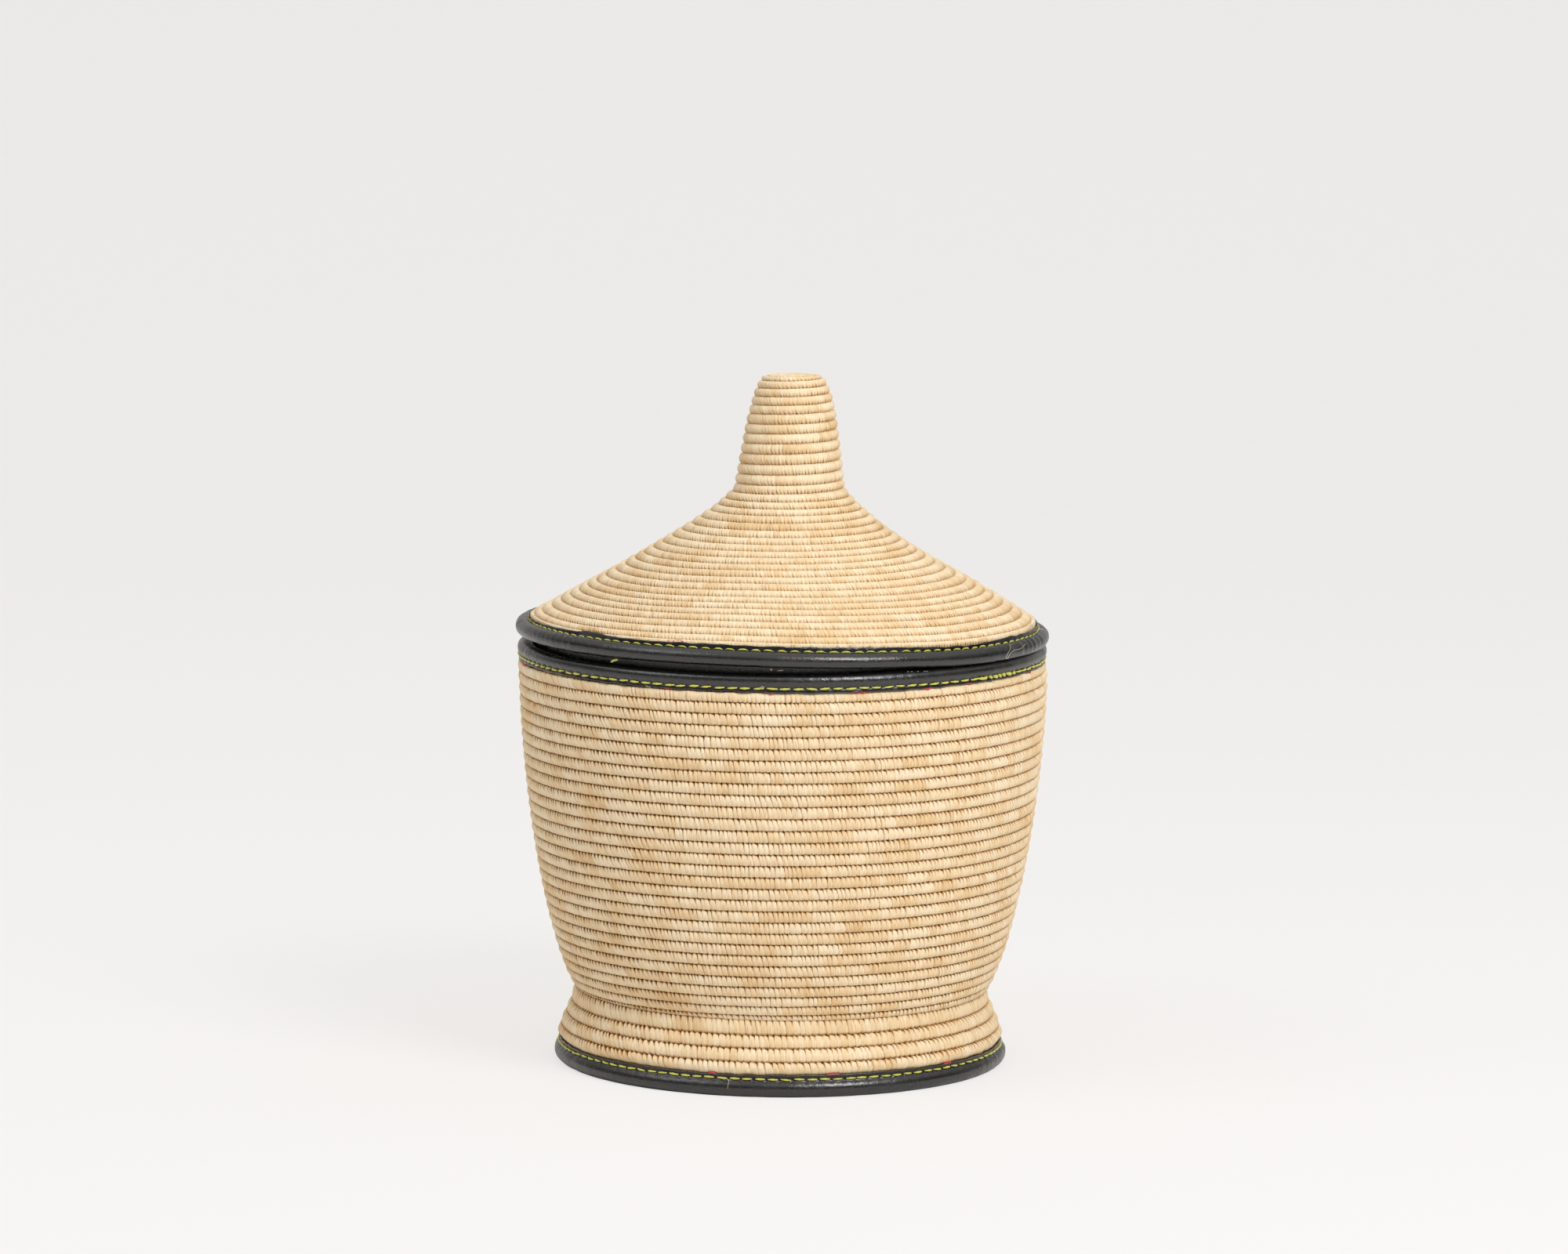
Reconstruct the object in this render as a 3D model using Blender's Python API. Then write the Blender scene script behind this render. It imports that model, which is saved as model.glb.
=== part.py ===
"""Lidded basket of coiled raffia with leather-bound edges, in metres, +Z up, standing on its foot at z = 0.

Three coiled pieces carry it: a foot ring, a basket whose floor and wall are one shell, and a lid that rises as
a cone and ends in a tall knob. Each is wound from one unbroken coil, so the ribs on its outside are one spiral.
The three free edges carry a padded roll under a leather binding, which is sewn through a cloth tape to the
coils. A ring under the lid drops inside the rim and keeps the lid in place.
"""

import math

import bmesh
import bpy
from mathutils import Vector
from mathutils.geometry import interpolate_bezier

# Facets round every turned piece, all at the same angles, so that nested pieces keep their gap
SEGMENTS = 28
FIT_GAP = 0.0003

# Bound edges: leather round a padded roll, sewn down on a tape
ROLL_RADIUS = 0.00475
FOOT_ROLL_RADIUS = 0.0049
RESTING_FLAT = 0.0005
LEATHER = 0.001
TAPE = 0.0004
TAPE_SHOWS = 0.0006
SEAM_TUCK = 0.0011
SEAM_SETBACK = 0.00105
LEATHER_MARGIN = 0.002
THREAD_RADIUS = 0.00045
BINDING_STEPS = 6
CORE_SIDES = 6

# Coils: the grooves between their turns, and the length over which the first and last turn fade out
GROOVE = 0.0012
FADE = 0.0024

# Foot
FOOT_RADIUS = 0.1187
FOOT_WALL = 0.007
FOOT_PITCH = 0.0072
FOOT_CREST = 0.004
FOOT_LEAN = math.radians(95)
FOOT_PULL = 0.008
WAIST_RADIUS = 0.1088
WAIST_HEIGHT = 0.038

# Basket
WALL = 0.0066
WALL_PITCH = 0.006
FLOOR = 0.006
RIM_RADIUS = 0.1384
RIM_HEIGHT = 0.2175
BELLY_LEAN = math.radians(58)
BELLY_PULL = 0.029
RIM_PULL = 0.061

# Lid, whose edge lies a little inside the rim's
LID_SETBACK = 0.0004
LID_WALL = 0.006
LID_PITCH = 0.00535
LID_CREST = 0.0054
LID_LEAN = math.radians(146.7)
LID_PULL = 0.04
CONE_RISE = 0.0737
CONE_TOP_LEAN = math.radians(129.7)
CONE_TOP_PULL = 0.032
KNOB_RADIUS = 0.0293
KNOB_TOP_RADIUS = 0.0182
KNOB_HEIGHT = 0.059
KNOB_ROUNDING = 0.0055

# Ring under the lid
COLLAR_CLEARANCE = 0.0015
COLLAR_WALL = 0.0052
COLLAR_DEPTH = 0.0105

# Points on each drawn curve, and where the plain inner faces follow it, as shares of its length
CURVE_POINTS = 60
CORNER_POINTS = 8
WALL_STATIONS = (0.75, 0.5, 0.25, 0.1)
CONE_STATIONS = (0.25, 0.6)

SHARP_ANGLE = math.radians(40)

# Colours from 0 to 255 as seen, then roughness
RAFFIA = ((222, 192, 145), 0.62)
DARK_LEATHER = ((40, 39, 40), 0.42)
STRAW = ((176, 148, 100), 0.85)
RED_CLOTH = ((196, 62, 74), 0.9)
YELLOW_THREAD = ((208, 206, 78), 0.6)


def bearing(angle):
    """The unit vector at this angle, where a quarter turn points up."""
    return Vector((math.cos(angle), math.sin(angle)))


def right_of(direction):
    return Vector((direction.y, -direction.x))


def spaced(first, last, steps):
    """Evenly spaced values from first to last, both included."""
    return [first + (last - first) * i / steps for i in range(steps + 1)]


class Outline:
    """A line of (radius, height) points, read by the length along it. Its outer side is on its right."""

    def __init__(self, points):
        self.points = [points[0]]
        self.marks = [0.0]
        for point in points[1:]:
            step = (point - self.points[-1]).length
            if step > 0:
                self.points.append(point)
                self.marks.append(self.marks[-1] + step)
        self.length = self.marks[-1]

    def at(self, mark, depth=0.0):
        """The point this far along the line, sunk by depth below it."""
        i = 1
        while i < len(self.marks) - 1 and self.marks[i] < mark:
            i += 1
        start, end = self.points[i - 1], self.points[i]
        share = (mark - self.marks[i - 1]) / (self.marks[i] - self.marks[i - 1])
        return start.lerp(end, share) - right_of((end - start).normalized()) * depth


class BoundEdge:
    """The section of a bound edge. On it, a runs from the roll's centre along the wall, and b runs outwards."""

    def __init__(self, centre, radius, along, out, crest, wall, flat=0.0):
        self.centre = centre
        self.radius = radius
        self.flat = flat
        self.along = along
        self.out = out
        self.crest = crest
        self.face = crest - SEAM_TUCK
        self.face_back = self.face - LEATHER
        self.band = self.face_back - TAPE - 2 * FIT_GAP
        self.wall_back = crest - wall
        self.inside_back = self.wall_back - FIT_GAP
        self.inside = self.inside_back - LEATHER
        self.hollow = radius - LEATHER
        first, last = self.roll_angles(self.hollow, self.face_back, self.inside_back)
        self.core = self.hollow * math.cos((first - last) / BINDING_STEPS / 2) - FIT_GAP
        self.wall_end = self.core + FIT_GAP
        self.seam = math.sqrt(radius**2 - self.face**2) + SEAM_SETBACK
        self.leather_end = self.seam + LEATHER_MARGIN
        self.tape_end = self.leather_end + TAPE_SHOWS
        self.coil_end = self.tape_end + FIT_GAP

    def point(self, a, b):
        return self.centre + self.along * a + self.out * b

    def crest_end(self):
        """Where the crests' line of the coils ends, beside the tape."""
        return self.point(self.coil_end, self.crest)

    def wall_edge(self):
        """The wall's corners under the leather, from its outer side round to the end of its inner band."""
        corners = ((self.wall_end, self.band), (self.wall_end, self.wall_back), (self.coil_end, self.wall_back))
        return [self.point(a, b) for a, b in corners]

    def roll_angles(self, radius, outer, inner):
        """Where a circle round the roll meets the outer and the inner flange, as angles from its far side."""
        return math.pi - math.asin(outer / radius), math.asin(-inner / radius) - math.pi

    def on_roll(self, radius, angle):
        return self.point(-radius * math.cos(angle), radius * math.sin(angle))

    def roll_outside(self):
        """Points round the leather's outer face, with a flat on its lowest side where the edge rests on it."""
        first, last = self.roll_angles(self.radius, self.face, self.inside)
        angles = spaced(first, last, BINDING_STEPS)
        if self.flat:
            down = math.atan2(-self.out.y, self.along.y)
            half = math.acos(1 - self.flat / self.radius)
            outer_steps = BINDING_STEPS // 2
            inner_steps = BINDING_STEPS - outer_steps - 1
            angles = spaced(first, down + half, outer_steps) + spaced(down - half, last, inner_steps)
        return [self.on_roll(self.radius, angle) for angle in angles]

    def roll_inside(self):
        """Points round the leather's inner face."""
        first, last = self.roll_angles(self.hollow, self.face_back, self.inside_back)
        return [self.on_roll(self.hollow, angle) for angle in spaced(first, last, BINDING_STEPS)]

    def binding(self, inner_end):
        """The leather strip: an outer flange, the roll's cover and an inner flange that ends at inner_end."""
        outside = [self.point(self.leather_end, self.face), *self.roll_outside()]
        outside.append(self.point(inner_end, self.inside))
        inside = [self.point(self.leather_end, self.face_back), *self.roll_inside()]
        inside.append(self.point(inner_end, self.inside_back))
        return outside + inside[::-1]

    def core_section(self):
        turns = spaced(0, 2 * math.pi, CORE_SIDES)[:-1]
        return [self.on_roll(self.core, angle) for angle in turns]

    def tape(self):
        low = self.band + FIT_GAP
        high = low + TAPE
        ends = (self.wall_end, self.tape_end)
        return [self.point(ends[0], low), self.point(ends[1], low),
                self.point(ends[1], high), self.point(ends[0], high)]

    def thread(self):
        middle = self.face + FIT_GAP + THREAD_RADIUS
        return [self.point(self.seam - THREAD_RADIUS, middle), self.point(self.seam, middle - THREAD_RADIUS),
                self.point(self.seam + THREAD_RADIUS, middle), self.point(self.seam, middle + THREAD_RADIUS)]


def curve(start, start_lean, start_pull, end, end_lean, end_pull):
    """A smooth curve that leaves start and reaches end at these angles."""
    first = start + bearing(start_lean) * start_pull
    second = end - bearing(end_lean) * end_pull
    corners = [point.to_3d() for point in (start, first, second, end)]
    return [point.to_2d() for point in interpolate_bezier(*corners, CURVE_POINTS)]


def where(points, radius=None, height=None):
    """The point of a line of points that has this radius or this height. The line may be run out past its ends."""
    part, value = (0, radius) if height is None else (1, height)
    start, end = points[0], points[1]
    for start, end in zip(points, points[1:]):
        if (start[part] - value) * (end[part] - value) <= 0:
            break
    return start.lerp(end, (value - start[part]) / (end[part] - start[part]))


def rounded_corner(before, corner, after, radius):
    """Points round a corner that turns to the left."""
    start = (corner - before).normalized()
    end = (after - corner).normalized()
    first, last = math.atan2(start.y, start.x), math.atan2(end.y, end.x)
    back = radius * math.tan((last - first) / 2)
    centre = corner - start * back - right_of(start) * radius
    return [centre + right_of(bearing(angle)) * radius for angle in spaced(first, last, CORNER_POINTS)]


def spiral_ribs(outline, pitch, start_depth, end_depth, turn):
    """The groove and crest points of one coil along an outline, at this share of a turn round the axis.

    After a whole turn each point lies where the next rib's was, so that the ribs join into one spiral. The
    coil fades out towards both ends, down to the depth of what it meets there.
    """
    turns = round(outline.length / pitch)
    pitch = outline.length / turns
    points = []
    for k in range(2 * turns + 3):
        mark = min(max((k / 2 - 1 + turn) * pitch, 0.0), outline.length)
        groove = GROOVE if k % 2 == 0 else 0.0
        start_fade = start_depth * (1 - mark / FADE)
        end_fade = end_depth * (1 - (outline.length - mark) / FADE)
        points.append(outline.at(mark, max(groove, start_fade, end_fade)))
    return points


def material(name, look):
    """A plain finish from a colour of 0 to 255 as seen and a roughness."""
    colour, roughness = look
    finish = bpy.data.materials.new(name)
    finish.use_nodes = True
    shader = finish.node_tree.nodes["Principled BSDF"]
    linear = [(channel / 255) ** 2.2 for channel in colour]
    shader.inputs["Base Color"].default_value = (*linear, 1.0)
    shader.inputs["Roughness"].default_value = roughness
    shader.inputs["Metallic"].default_value = 0.0
    finish.diffuse_color = (*linear, 1.0)
    return finish


def add_object(name, bm, finish, group):
    """Makes the mesh an object of this name on the group's axis."""
    bmesh.ops.remove_doubles(bm, verts=bm.verts, dist=1e-6)
    bmesh.ops.recalc_face_normals(bm, faces=bm.faces)
    mesh = bpy.data.meshes.new(name)
    bm.to_mesh(mesh)
    bm.free()
    mesh.materials.append(finish)
    mesh.shade_smooth()
    mesh.set_sharp_from_angle(angle=SHARP_ANGLE)
    piece = bpy.data.objects.new(name, mesh)
    piece.parent = group
    piece.location.z = -group.location.z
    bpy.context.scene.collection.objects.link(piece)


def add_ring(name, section, finish, group):
    """Spins a closed section of (radius, height) points round the axis."""
    bm = bmesh.new()
    verts = [bm.verts.new((point.x, 0, point.y)) for point in section]
    edges = [bm.edges.new((verts[i - 1], verts[i])) for i in range(len(verts))]
    bmesh.ops.spin(
        bm,
        geom=verts + edges,
        cent=(0, 0, 0),
        axis=(0, 0, 1),
        dvec=(0, 0, 0),
        angle=2 * math.pi,
        steps=SEGMENTS,
        use_merge=True,
    )
    add_object(name, bm, finish, group)


def add_coiled(name, section_at, closed, finish, group):
    """Joins sections that change as they go round, from turn 0 to turn 1, where they meet one rib further on."""
    bm = bmesh.new()
    columns = []
    for step in range(SEGMENTS + 1):
        angle = 2 * math.pi * step / SEGMENTS
        section = section_at(step / SEGMENTS)
        columns.append([bm.verts.new((p.x * math.cos(angle), p.x * math.sin(angle), p.y)) for p in section])
    for left, right in zip(columns, columns[1:]):
        for k in range(0 if closed else 1, len(left)):
            bm.faces.new((left[k - 1], right[k - 1], right[k], left[k]))
    add_object(name, bm, finish, group)


def add_group(name, height):
    """An empty on the axis that carries the pieces of one group."""
    group = bpy.data.objects.new(name, None)
    group.location.z = height
    bpy.context.scene.collection.objects.link(group)
    return group


def add_binding(prefix, edge, inner_end, finishes, group):
    """The roll's core, the leather round it, the tape under it and the thread of its seam."""
    add_ring(prefix + "_core", edge.core_section(), finishes["straw"], group)
    add_ring(prefix + "_binding", edge.binding(inner_end), finishes["dark_leather"], group)
    add_ring(prefix + "_tape", edge.tape(), finishes["red_cloth"], group)
    add_ring(prefix + "_thread", edge.thread(), finishes["yellow_thread"], group)


def add_foot(finishes, group):
    """The ring that the basket stands on."""
    centre = Vector((FOOT_RADIUS - FOOT_ROLL_RADIUS, FOOT_ROLL_RADIUS - RESTING_FLAT))
    along = bearing(FOOT_LEAN)
    edge = BoundEdge(
        centre, FOOT_ROLL_RADIUS, along, right_of(along), FOOT_CREST, FOOT_WALL, RESTING_FLAT
    )
    waist = Vector((WAIST_RADIUS, WAIST_HEIGHT - FIT_GAP / 2))
    outline = Outline(curve(edge.crest_end(), FOOT_LEAN, FOOT_PULL, waist, FOOT_LEAN, FOOT_PULL))
    top_inside = Vector((WAIST_RADIUS - FOOT_WALL, waist.y))
    wall_edge = edge.wall_edge()

    def section_at(turn):
        ribs = spiral_ribs(outline, FOOT_PITCH, edge.crest - edge.band, GROOVE, turn)
        return [*ribs, top_inside, *wall_edge[::-1]]

    add_coiled("foot_coil", section_at, True, finishes["raffia"], group)
    add_binding("foot", edge, edge.leather_end, finishes, group)


def add_basket(finishes, group):
    """The shell of floor and wall, and its rim."""
    centre = Vector((RIM_RADIUS - ROLL_RADIUS, RIM_HEIGHT))
    edge = BoundEdge(centre, ROLL_RADIUS, Vector((0, -1)), Vector((1, 0)), ROLL_RADIUS, WALL)
    waist = Vector((WAIST_RADIUS, WAIST_HEIGHT + FIT_GAP / 2))
    upright = math.radians(90)
    outline = Outline(curve(waist, BELLY_LEAN, BELLY_PULL, edge.crest_end(), upright, RIM_PULL))
    inner_wall = [outline.at(outline.length * share, WALL) for share in WALL_STATIONS]
    floor_top = waist.y + FLOOR
    floor_corner = where([inner_wall[-1], outline.at(0, WALL)], height=floor_top)
    plain = [*edge.wall_edge(), *inner_wall, floor_corner, Vector((0, floor_top))]

    def section_at(turn):
        ribs = spiral_ribs(outline, WALL_PITCH, GROOVE, edge.crest - edge.band, turn)
        return [Vector((0, waist.y)), *ribs, *plain]

    add_coiled("basket_coil", section_at, False, finishes["raffia"], group)
    add_binding("rim", edge, edge.leather_end, finishes, group)


def add_lid(finishes, group):
    """The lid's cone and hollow knob, its bound edge, and the ring that drops inside the rim."""
    centre = Vector((RIM_RADIUS - LID_SETBACK - ROLL_RADIUS, lid_height()))
    along = bearing(LID_LEAN)
    edge = BoundEdge(centre, ROLL_RADIUS, along, right_of(along), LID_CREST, LID_WALL)
    knob_base = Vector((KNOB_RADIUS, centre.y + CONE_RISE))
    knob_corner = Vector((KNOB_TOP_RADIUS, knob_base.y + KNOB_HEIGHT))
    top = Vector((0, knob_corner.y))
    cone = curve(edge.crest_end(), LID_LEAN, LID_PULL, knob_base, CONE_TOP_LEAN, CONE_TOP_PULL)
    outline = Outline([*cone, *rounded_corner(knob_base, knob_corner, top, KNOB_ROUNDING), top])
    wall_edge = edge.wall_edge()
    cone_length = Outline(cone).length
    underside = [wall_edge[-1], *(outline.at(cone_length * share, LID_WALL) for share in CONE_STATIONS)]
    knob_mouth = knob_base - Vector((LID_WALL, LID_WALL / 2))
    knob_ceiling = knob_corner - Vector((LID_WALL, LID_WALL))
    plain = [Vector((0, knob_ceiling.y)), knob_ceiling, knob_mouth, *underside[:0:-1], *wall_edge[::-1]]

    def section_at(turn):
        return plain + spiral_ribs(outline, LID_PITCH, edge.crest - edge.band, GROOVE, turn)

    add_coiled("lid_coil", section_at, False, finishes["raffia"], group)
    facing_outside = RIM_RADIUS - 2 * ROLL_RADIUS - COLLAR_CLEARANCE
    inner_end = (centre.x + edge.out.x * edge.inside - facing_outside - FIT_GAP) / -along.x
    add_binding("lid", edge, inner_end, finishes, group)
    add_collar(underside, facing_outside, FIT_GAP / -along.x, finishes, group)


def add_collar(underside, facing_outside, gap, finishes, group):
    """A coiled ring sewn under the cone, and the leather round it. Their tops follow the cone's underside."""
    bottom = RIM_HEIGHT + ROLL_RADIUS - COLLAR_DEPTH
    facing_back = facing_outside - LEATHER
    collar_outside = facing_back - FIT_GAP
    for name, outside, inside, finish in (
        ("lid_collar", collar_outside, collar_outside - COLLAR_WALL, finishes["raffia"]),
        ("collar_facing", facing_outside, facing_back, finishes["dark_leather"]),
    ):
        tops = [where(underside, radius=radius) - Vector((0, gap)) for radius in (outside, inside)]
        section = [Vector((outside, bottom)), *tops, Vector((inside, bottom))]
        add_ring(name, section, finish, group)


def lid_height():
    """The height of the lid's roll, which rests on the rim's."""
    return RIM_HEIGHT + 2 * ROLL_RADIUS + FIT_GAP


def main():
    for old in list(bpy.data.objects):
        bpy.data.objects.remove(old)
    finishes = {
        "raffia": material("raffia", RAFFIA),
        "dark_leather": material("dark_leather", DARK_LEATHER),
        "straw": material("straw", STRAW),
        "red_cloth": material("red_cloth", RED_CLOTH),
        "yellow_thread": material("yellow_thread", YELLOW_THREAD),
    }
    basket = add_group("basket", 0)
    add_foot(finishes, basket)
    add_basket(finishes, basket)
    add_lid(finishes, add_group("lid", lid_height()))


main()
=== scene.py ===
"""Looks of the lidded basket: raffia stitches over one long coil, and leather bound on with yellow thread."""

import math

import bpy
import numpy as np
from bpy.props import FloatProperty, FloatVectorProperty, IntProperty, PointerProperty
from mathutils import Matrix, Vector


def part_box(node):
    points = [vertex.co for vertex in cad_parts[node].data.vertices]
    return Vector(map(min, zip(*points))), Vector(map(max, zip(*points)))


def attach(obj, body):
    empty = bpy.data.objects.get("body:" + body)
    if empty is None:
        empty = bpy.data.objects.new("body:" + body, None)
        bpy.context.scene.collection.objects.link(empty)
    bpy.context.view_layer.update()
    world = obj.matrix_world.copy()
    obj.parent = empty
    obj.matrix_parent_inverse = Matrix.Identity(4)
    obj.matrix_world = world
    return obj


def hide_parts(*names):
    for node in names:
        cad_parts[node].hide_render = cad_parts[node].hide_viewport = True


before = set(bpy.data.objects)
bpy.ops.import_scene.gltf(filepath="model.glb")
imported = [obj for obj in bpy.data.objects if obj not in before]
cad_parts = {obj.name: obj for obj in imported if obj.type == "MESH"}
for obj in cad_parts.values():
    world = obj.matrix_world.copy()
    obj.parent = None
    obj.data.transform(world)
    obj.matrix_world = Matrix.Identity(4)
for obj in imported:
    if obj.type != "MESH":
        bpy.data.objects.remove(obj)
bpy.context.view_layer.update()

bl_info = {
    "name": "Lidded Raffia Basket",
    "version": (1, 0, 0),
    "blender": (4, 5, 0),
    "location": "View3D > Sidebar > Basket",
    "description": "Stitches the coils of a lidded basket and sews leather to its edges",
    "category": "Add Mesh",
}

MM = 0.001
TURN = 2 * math.pi

# Places that the frame gives
RIM_HEIGHT = sum(corner.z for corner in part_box("rim_core")) / 2
LID_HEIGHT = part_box("rim_binding")[1].z * 2 - RIM_HEIGHT + 0.3 * MM
LID_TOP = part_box("lid_coil")[1].z
WAIST_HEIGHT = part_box("foot_coil")[1].z
FLOOR_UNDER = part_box("basket_coil")[0].z
COLLAR_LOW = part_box("lid_collar")[0].z
COLLAR_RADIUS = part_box("lid_collar")[1].x
FACING_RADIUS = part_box("collar_facing")[1].x

# Section of a bound edge
LEATHER = 1.0 * MM
SEAM_SETBACK = 0.75 * MM
LEATHER_MARGIN = 2.0 * MM

# A stitch's ring of points round the coil, from the turn below over the outside and back round the inside
RING_DEGREES = (-90, -64, -36, 0, 36, 64, 90, 135, 180, 225)
# What stitches are like at each point of the ring: how deep the creases between them are in mm, how much
# painted shade they get, which is partly the darker fibre of the grooves, or how much painted highlight where
# that is below 0, and how far they bend left in mm
WALL_FACE = (
    (0.15, 0.35, 0.18, 0.17, 0.85, 1.15, 0.2, 0.25, 0.2, 0.25),
    (1, 0.5, 0, -0.1, -0.25, 0.42, 1, 0.1, 0, 0.1),
    (0, 0, 0, 0, 0.1, 0.4, 0.7, 0.7, 0.3, 0.1))
CONE_FACE = (
    (0.1, 0.6, 0.32, 0.12, 0.08, 0.2, 0.1, 0.25, 0.2, 0.25),
    (0.75, 0.3, 0.14, -0.05, -0.2, -0.12, 0.45, 0.1, 0, 0.1),
    (-0.9, -0.7, -0.25, 0, 0, 0, 0, 0, -0.2, -0.6))
# Shares of a stitch's width where its shoulders are
LEFT_SHOULDER, RIGHT_SHOULDER = 0.1, 0.87
# How much further in they stand beside its deepest crease, and how much the sides of the basket add to that
INSET, SIDE_INSET = 0.07, 0.12
# How much of a notch's depth its left side has where it starts
NOTCH_SLOPE = 0.6
# How open the notches are at the front, where the stitches lie closer together than at the sides
FRONT_OPEN = 0.56
# Depth of the fold along the middle of a stitch
FOLD = 0.13 * MM
# How much more the stitches lean at the left, and how much less painted shade the groove under each turn gets
# there
LEFT_LEAN, LEFT_LESS_SHADE = 0.6, 0.6
# A dent of this depth gets as much painted shade as a groove
SHADE_DEPTH = 0.66 * MM
# Degrees by which stitches lean over the coil, and the number of stitches in which that drifts another way
LEAN, DRIFT_EVERY = 4.5, 11
# How far each turn of a coil presses into the next one
PRESSED = 0.3 * MM
# Places in a turn between which its length is measured, to lay out the stitches
STEPS_PER_TURN = 240
# Stitches in one piece, which stays light enough with them
MAX_STITCHES = 2400

FRONT = -TURN / 4
# Which way the cone and the foot run up from their leather, in degrees
CONE_SLOPE = 146.7
FOOT_SLOPE = 95
# Knife cuts along the lid's flange: degrees from the front, and how far the edge stands out there in mm
LID_FLAP = (
    (-100, 0), (-85, -1.6), (-74, -0.8), (-62, 0.4), (-53, 0.7), (-50, 2.8), (-43, 0.9), (-37, 0),
    (-32, -0.2), (-23, 0.3), (-14, 0.5), (-9, 0.1), (0, 0), (20, -0.2), (30, -0.7), (50, -0.8), (58, 0.3),
    (62, 0.8), (74, 0.5), (100, 0))
# Half the height to which each roll is pressed where the lid lies on the rim, by degrees from the front
ROLL_PRESSED = {
    "rim": ((-90, 6), (-72, 4), (-60, 2.9), (-12, 2.9), (8, 3.2), (26, 4.4), (60, 5), (90, 6)),
    "lid": ((-90, 4.6), (-66, 4.6), (-45, 7), (-20, 4.8), (12, 4.4), (40, 4.2), (60, 4), (90, 4.6)),
}
# Thick stitches sewn over the rim's seam where it was mended: degrees from the front, share of a stitch's
# length, and slant
REPAIRS = (
    (47.6, 0.95, 0.04), (48.6, 0.8, -0.16), (50.6, 0.5, 0.35), (52.4, 0.7, 0.1), (53.9, 0.4, 0.4),
    (55.4, 0.5, 0.2), (57.6, 0.85, 0.14), (59.6, 0.4, -0.2))
# Where the tape peeps out: degrees from the front, half the width in degrees, and how far it reaches in mm
SLIVERS = {
    "foot": ((-17.2, 1.2, 1.6), (13.7, 2.5, 1.5), (48.1, 2.0, 1.6)),
    "rim": (
        (-76.7, 2.5, 1.9), (-24.6, 1.8, 1.2), (-2.7, 1.4, 1.5), (16.4, 4.4, 1.2), (32.3, 1.6, 1.5),
        (37.4, 1.5, 1.1), (44.2, 1.5, 1.4), (68, 2.4, 1.35)),
    "lid": ((-24.2, 2.4, 2.6),),
}
# Where raffia frays above the lid's leather: degrees from the front, mm above the roll's centre and out from
# it, and the number of its fibres
TUFTS = ((-73, 9.6, -3.8, 7), (75, 8.8, -2.4, 9), (79, 5.6, -0.6, 4))
# Fibres of fluff on the cut edge of the lid's leather, and the degrees from the front between which they are
FLUFF, FLUFF_PLACE = 46, (1, 27)
# How far a coil runs on under the leather, past the end of the line of its crests
UNDER_LEATHER = 2.3 * MM
# How far the foot's top turn is sunk into the floor, so that no light shows between them
SUNK = 1.0 * MM
# Where the grooves of the foot run, as shares of the way up to the waist
FOOT_GROOVES = (0.21, 0.48, 0.727, 1)
# How far the wall's coil has wandered up its line, by the length along it from the waist, both in mm
WALL_DRIFT = (
    (-8, 0), (1, 1.3), (6, 0.9), (12, 0.4), (24, 0), (60, -0.3), (97, -0.4), (112, 0.3), (127, 0.7),
    (150, 0.8), (172, 0.6), (178, 0))
# How far the wall stands to the right, by its height, both in mm
WALL_LEAN = ((0, 1.7), (45, 1.6), (100, 1.3), (195, 1.3), (205, 0.9), (212, 0.5))
# The same for the knob, as shares of its lean, by height over its foot in mm
KNOB_LEAN = ((-33, 0), (-20, 0.33), (-10, 0.62), (0, 0.75), (15, 0.84), (30, 0.89), (45, 1))
# How far the lid's coil has wandered up its line, in mm, by turns counted from the foot of the knob
LID_DRIFT = (
    (-22.2, -3), (-21.2, -2.7), (-20.2, -1.85), (-18.2, -1.25), (-15.2, -1.55), (-13.2, -0.2), (-11.2, 0.7),
    (-8.2, 0.8), (-5.2, 1.6), (-3.2, 2.1), (-1.2, 0.8), (-0.2, 0.6), (0.8, -0.85), (4.8, -0.85), (5.8, -1.1),
    (6.8, -0.8), (7.8, -0.1), (9, 0))
# How far the lid stands to the right, how far its cone has spread there, and how far it sags at the left
LID_SHIFT = 0.5 * MM
LID_SPREAD = 2.2 * MM
LID_SAG = 2.0 * MM


def length_property(name, description, millimetres):
    return FloatProperty(
        name=name, description=description, default=millimetres * MM, unit="LENGTH", precision=5)


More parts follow.
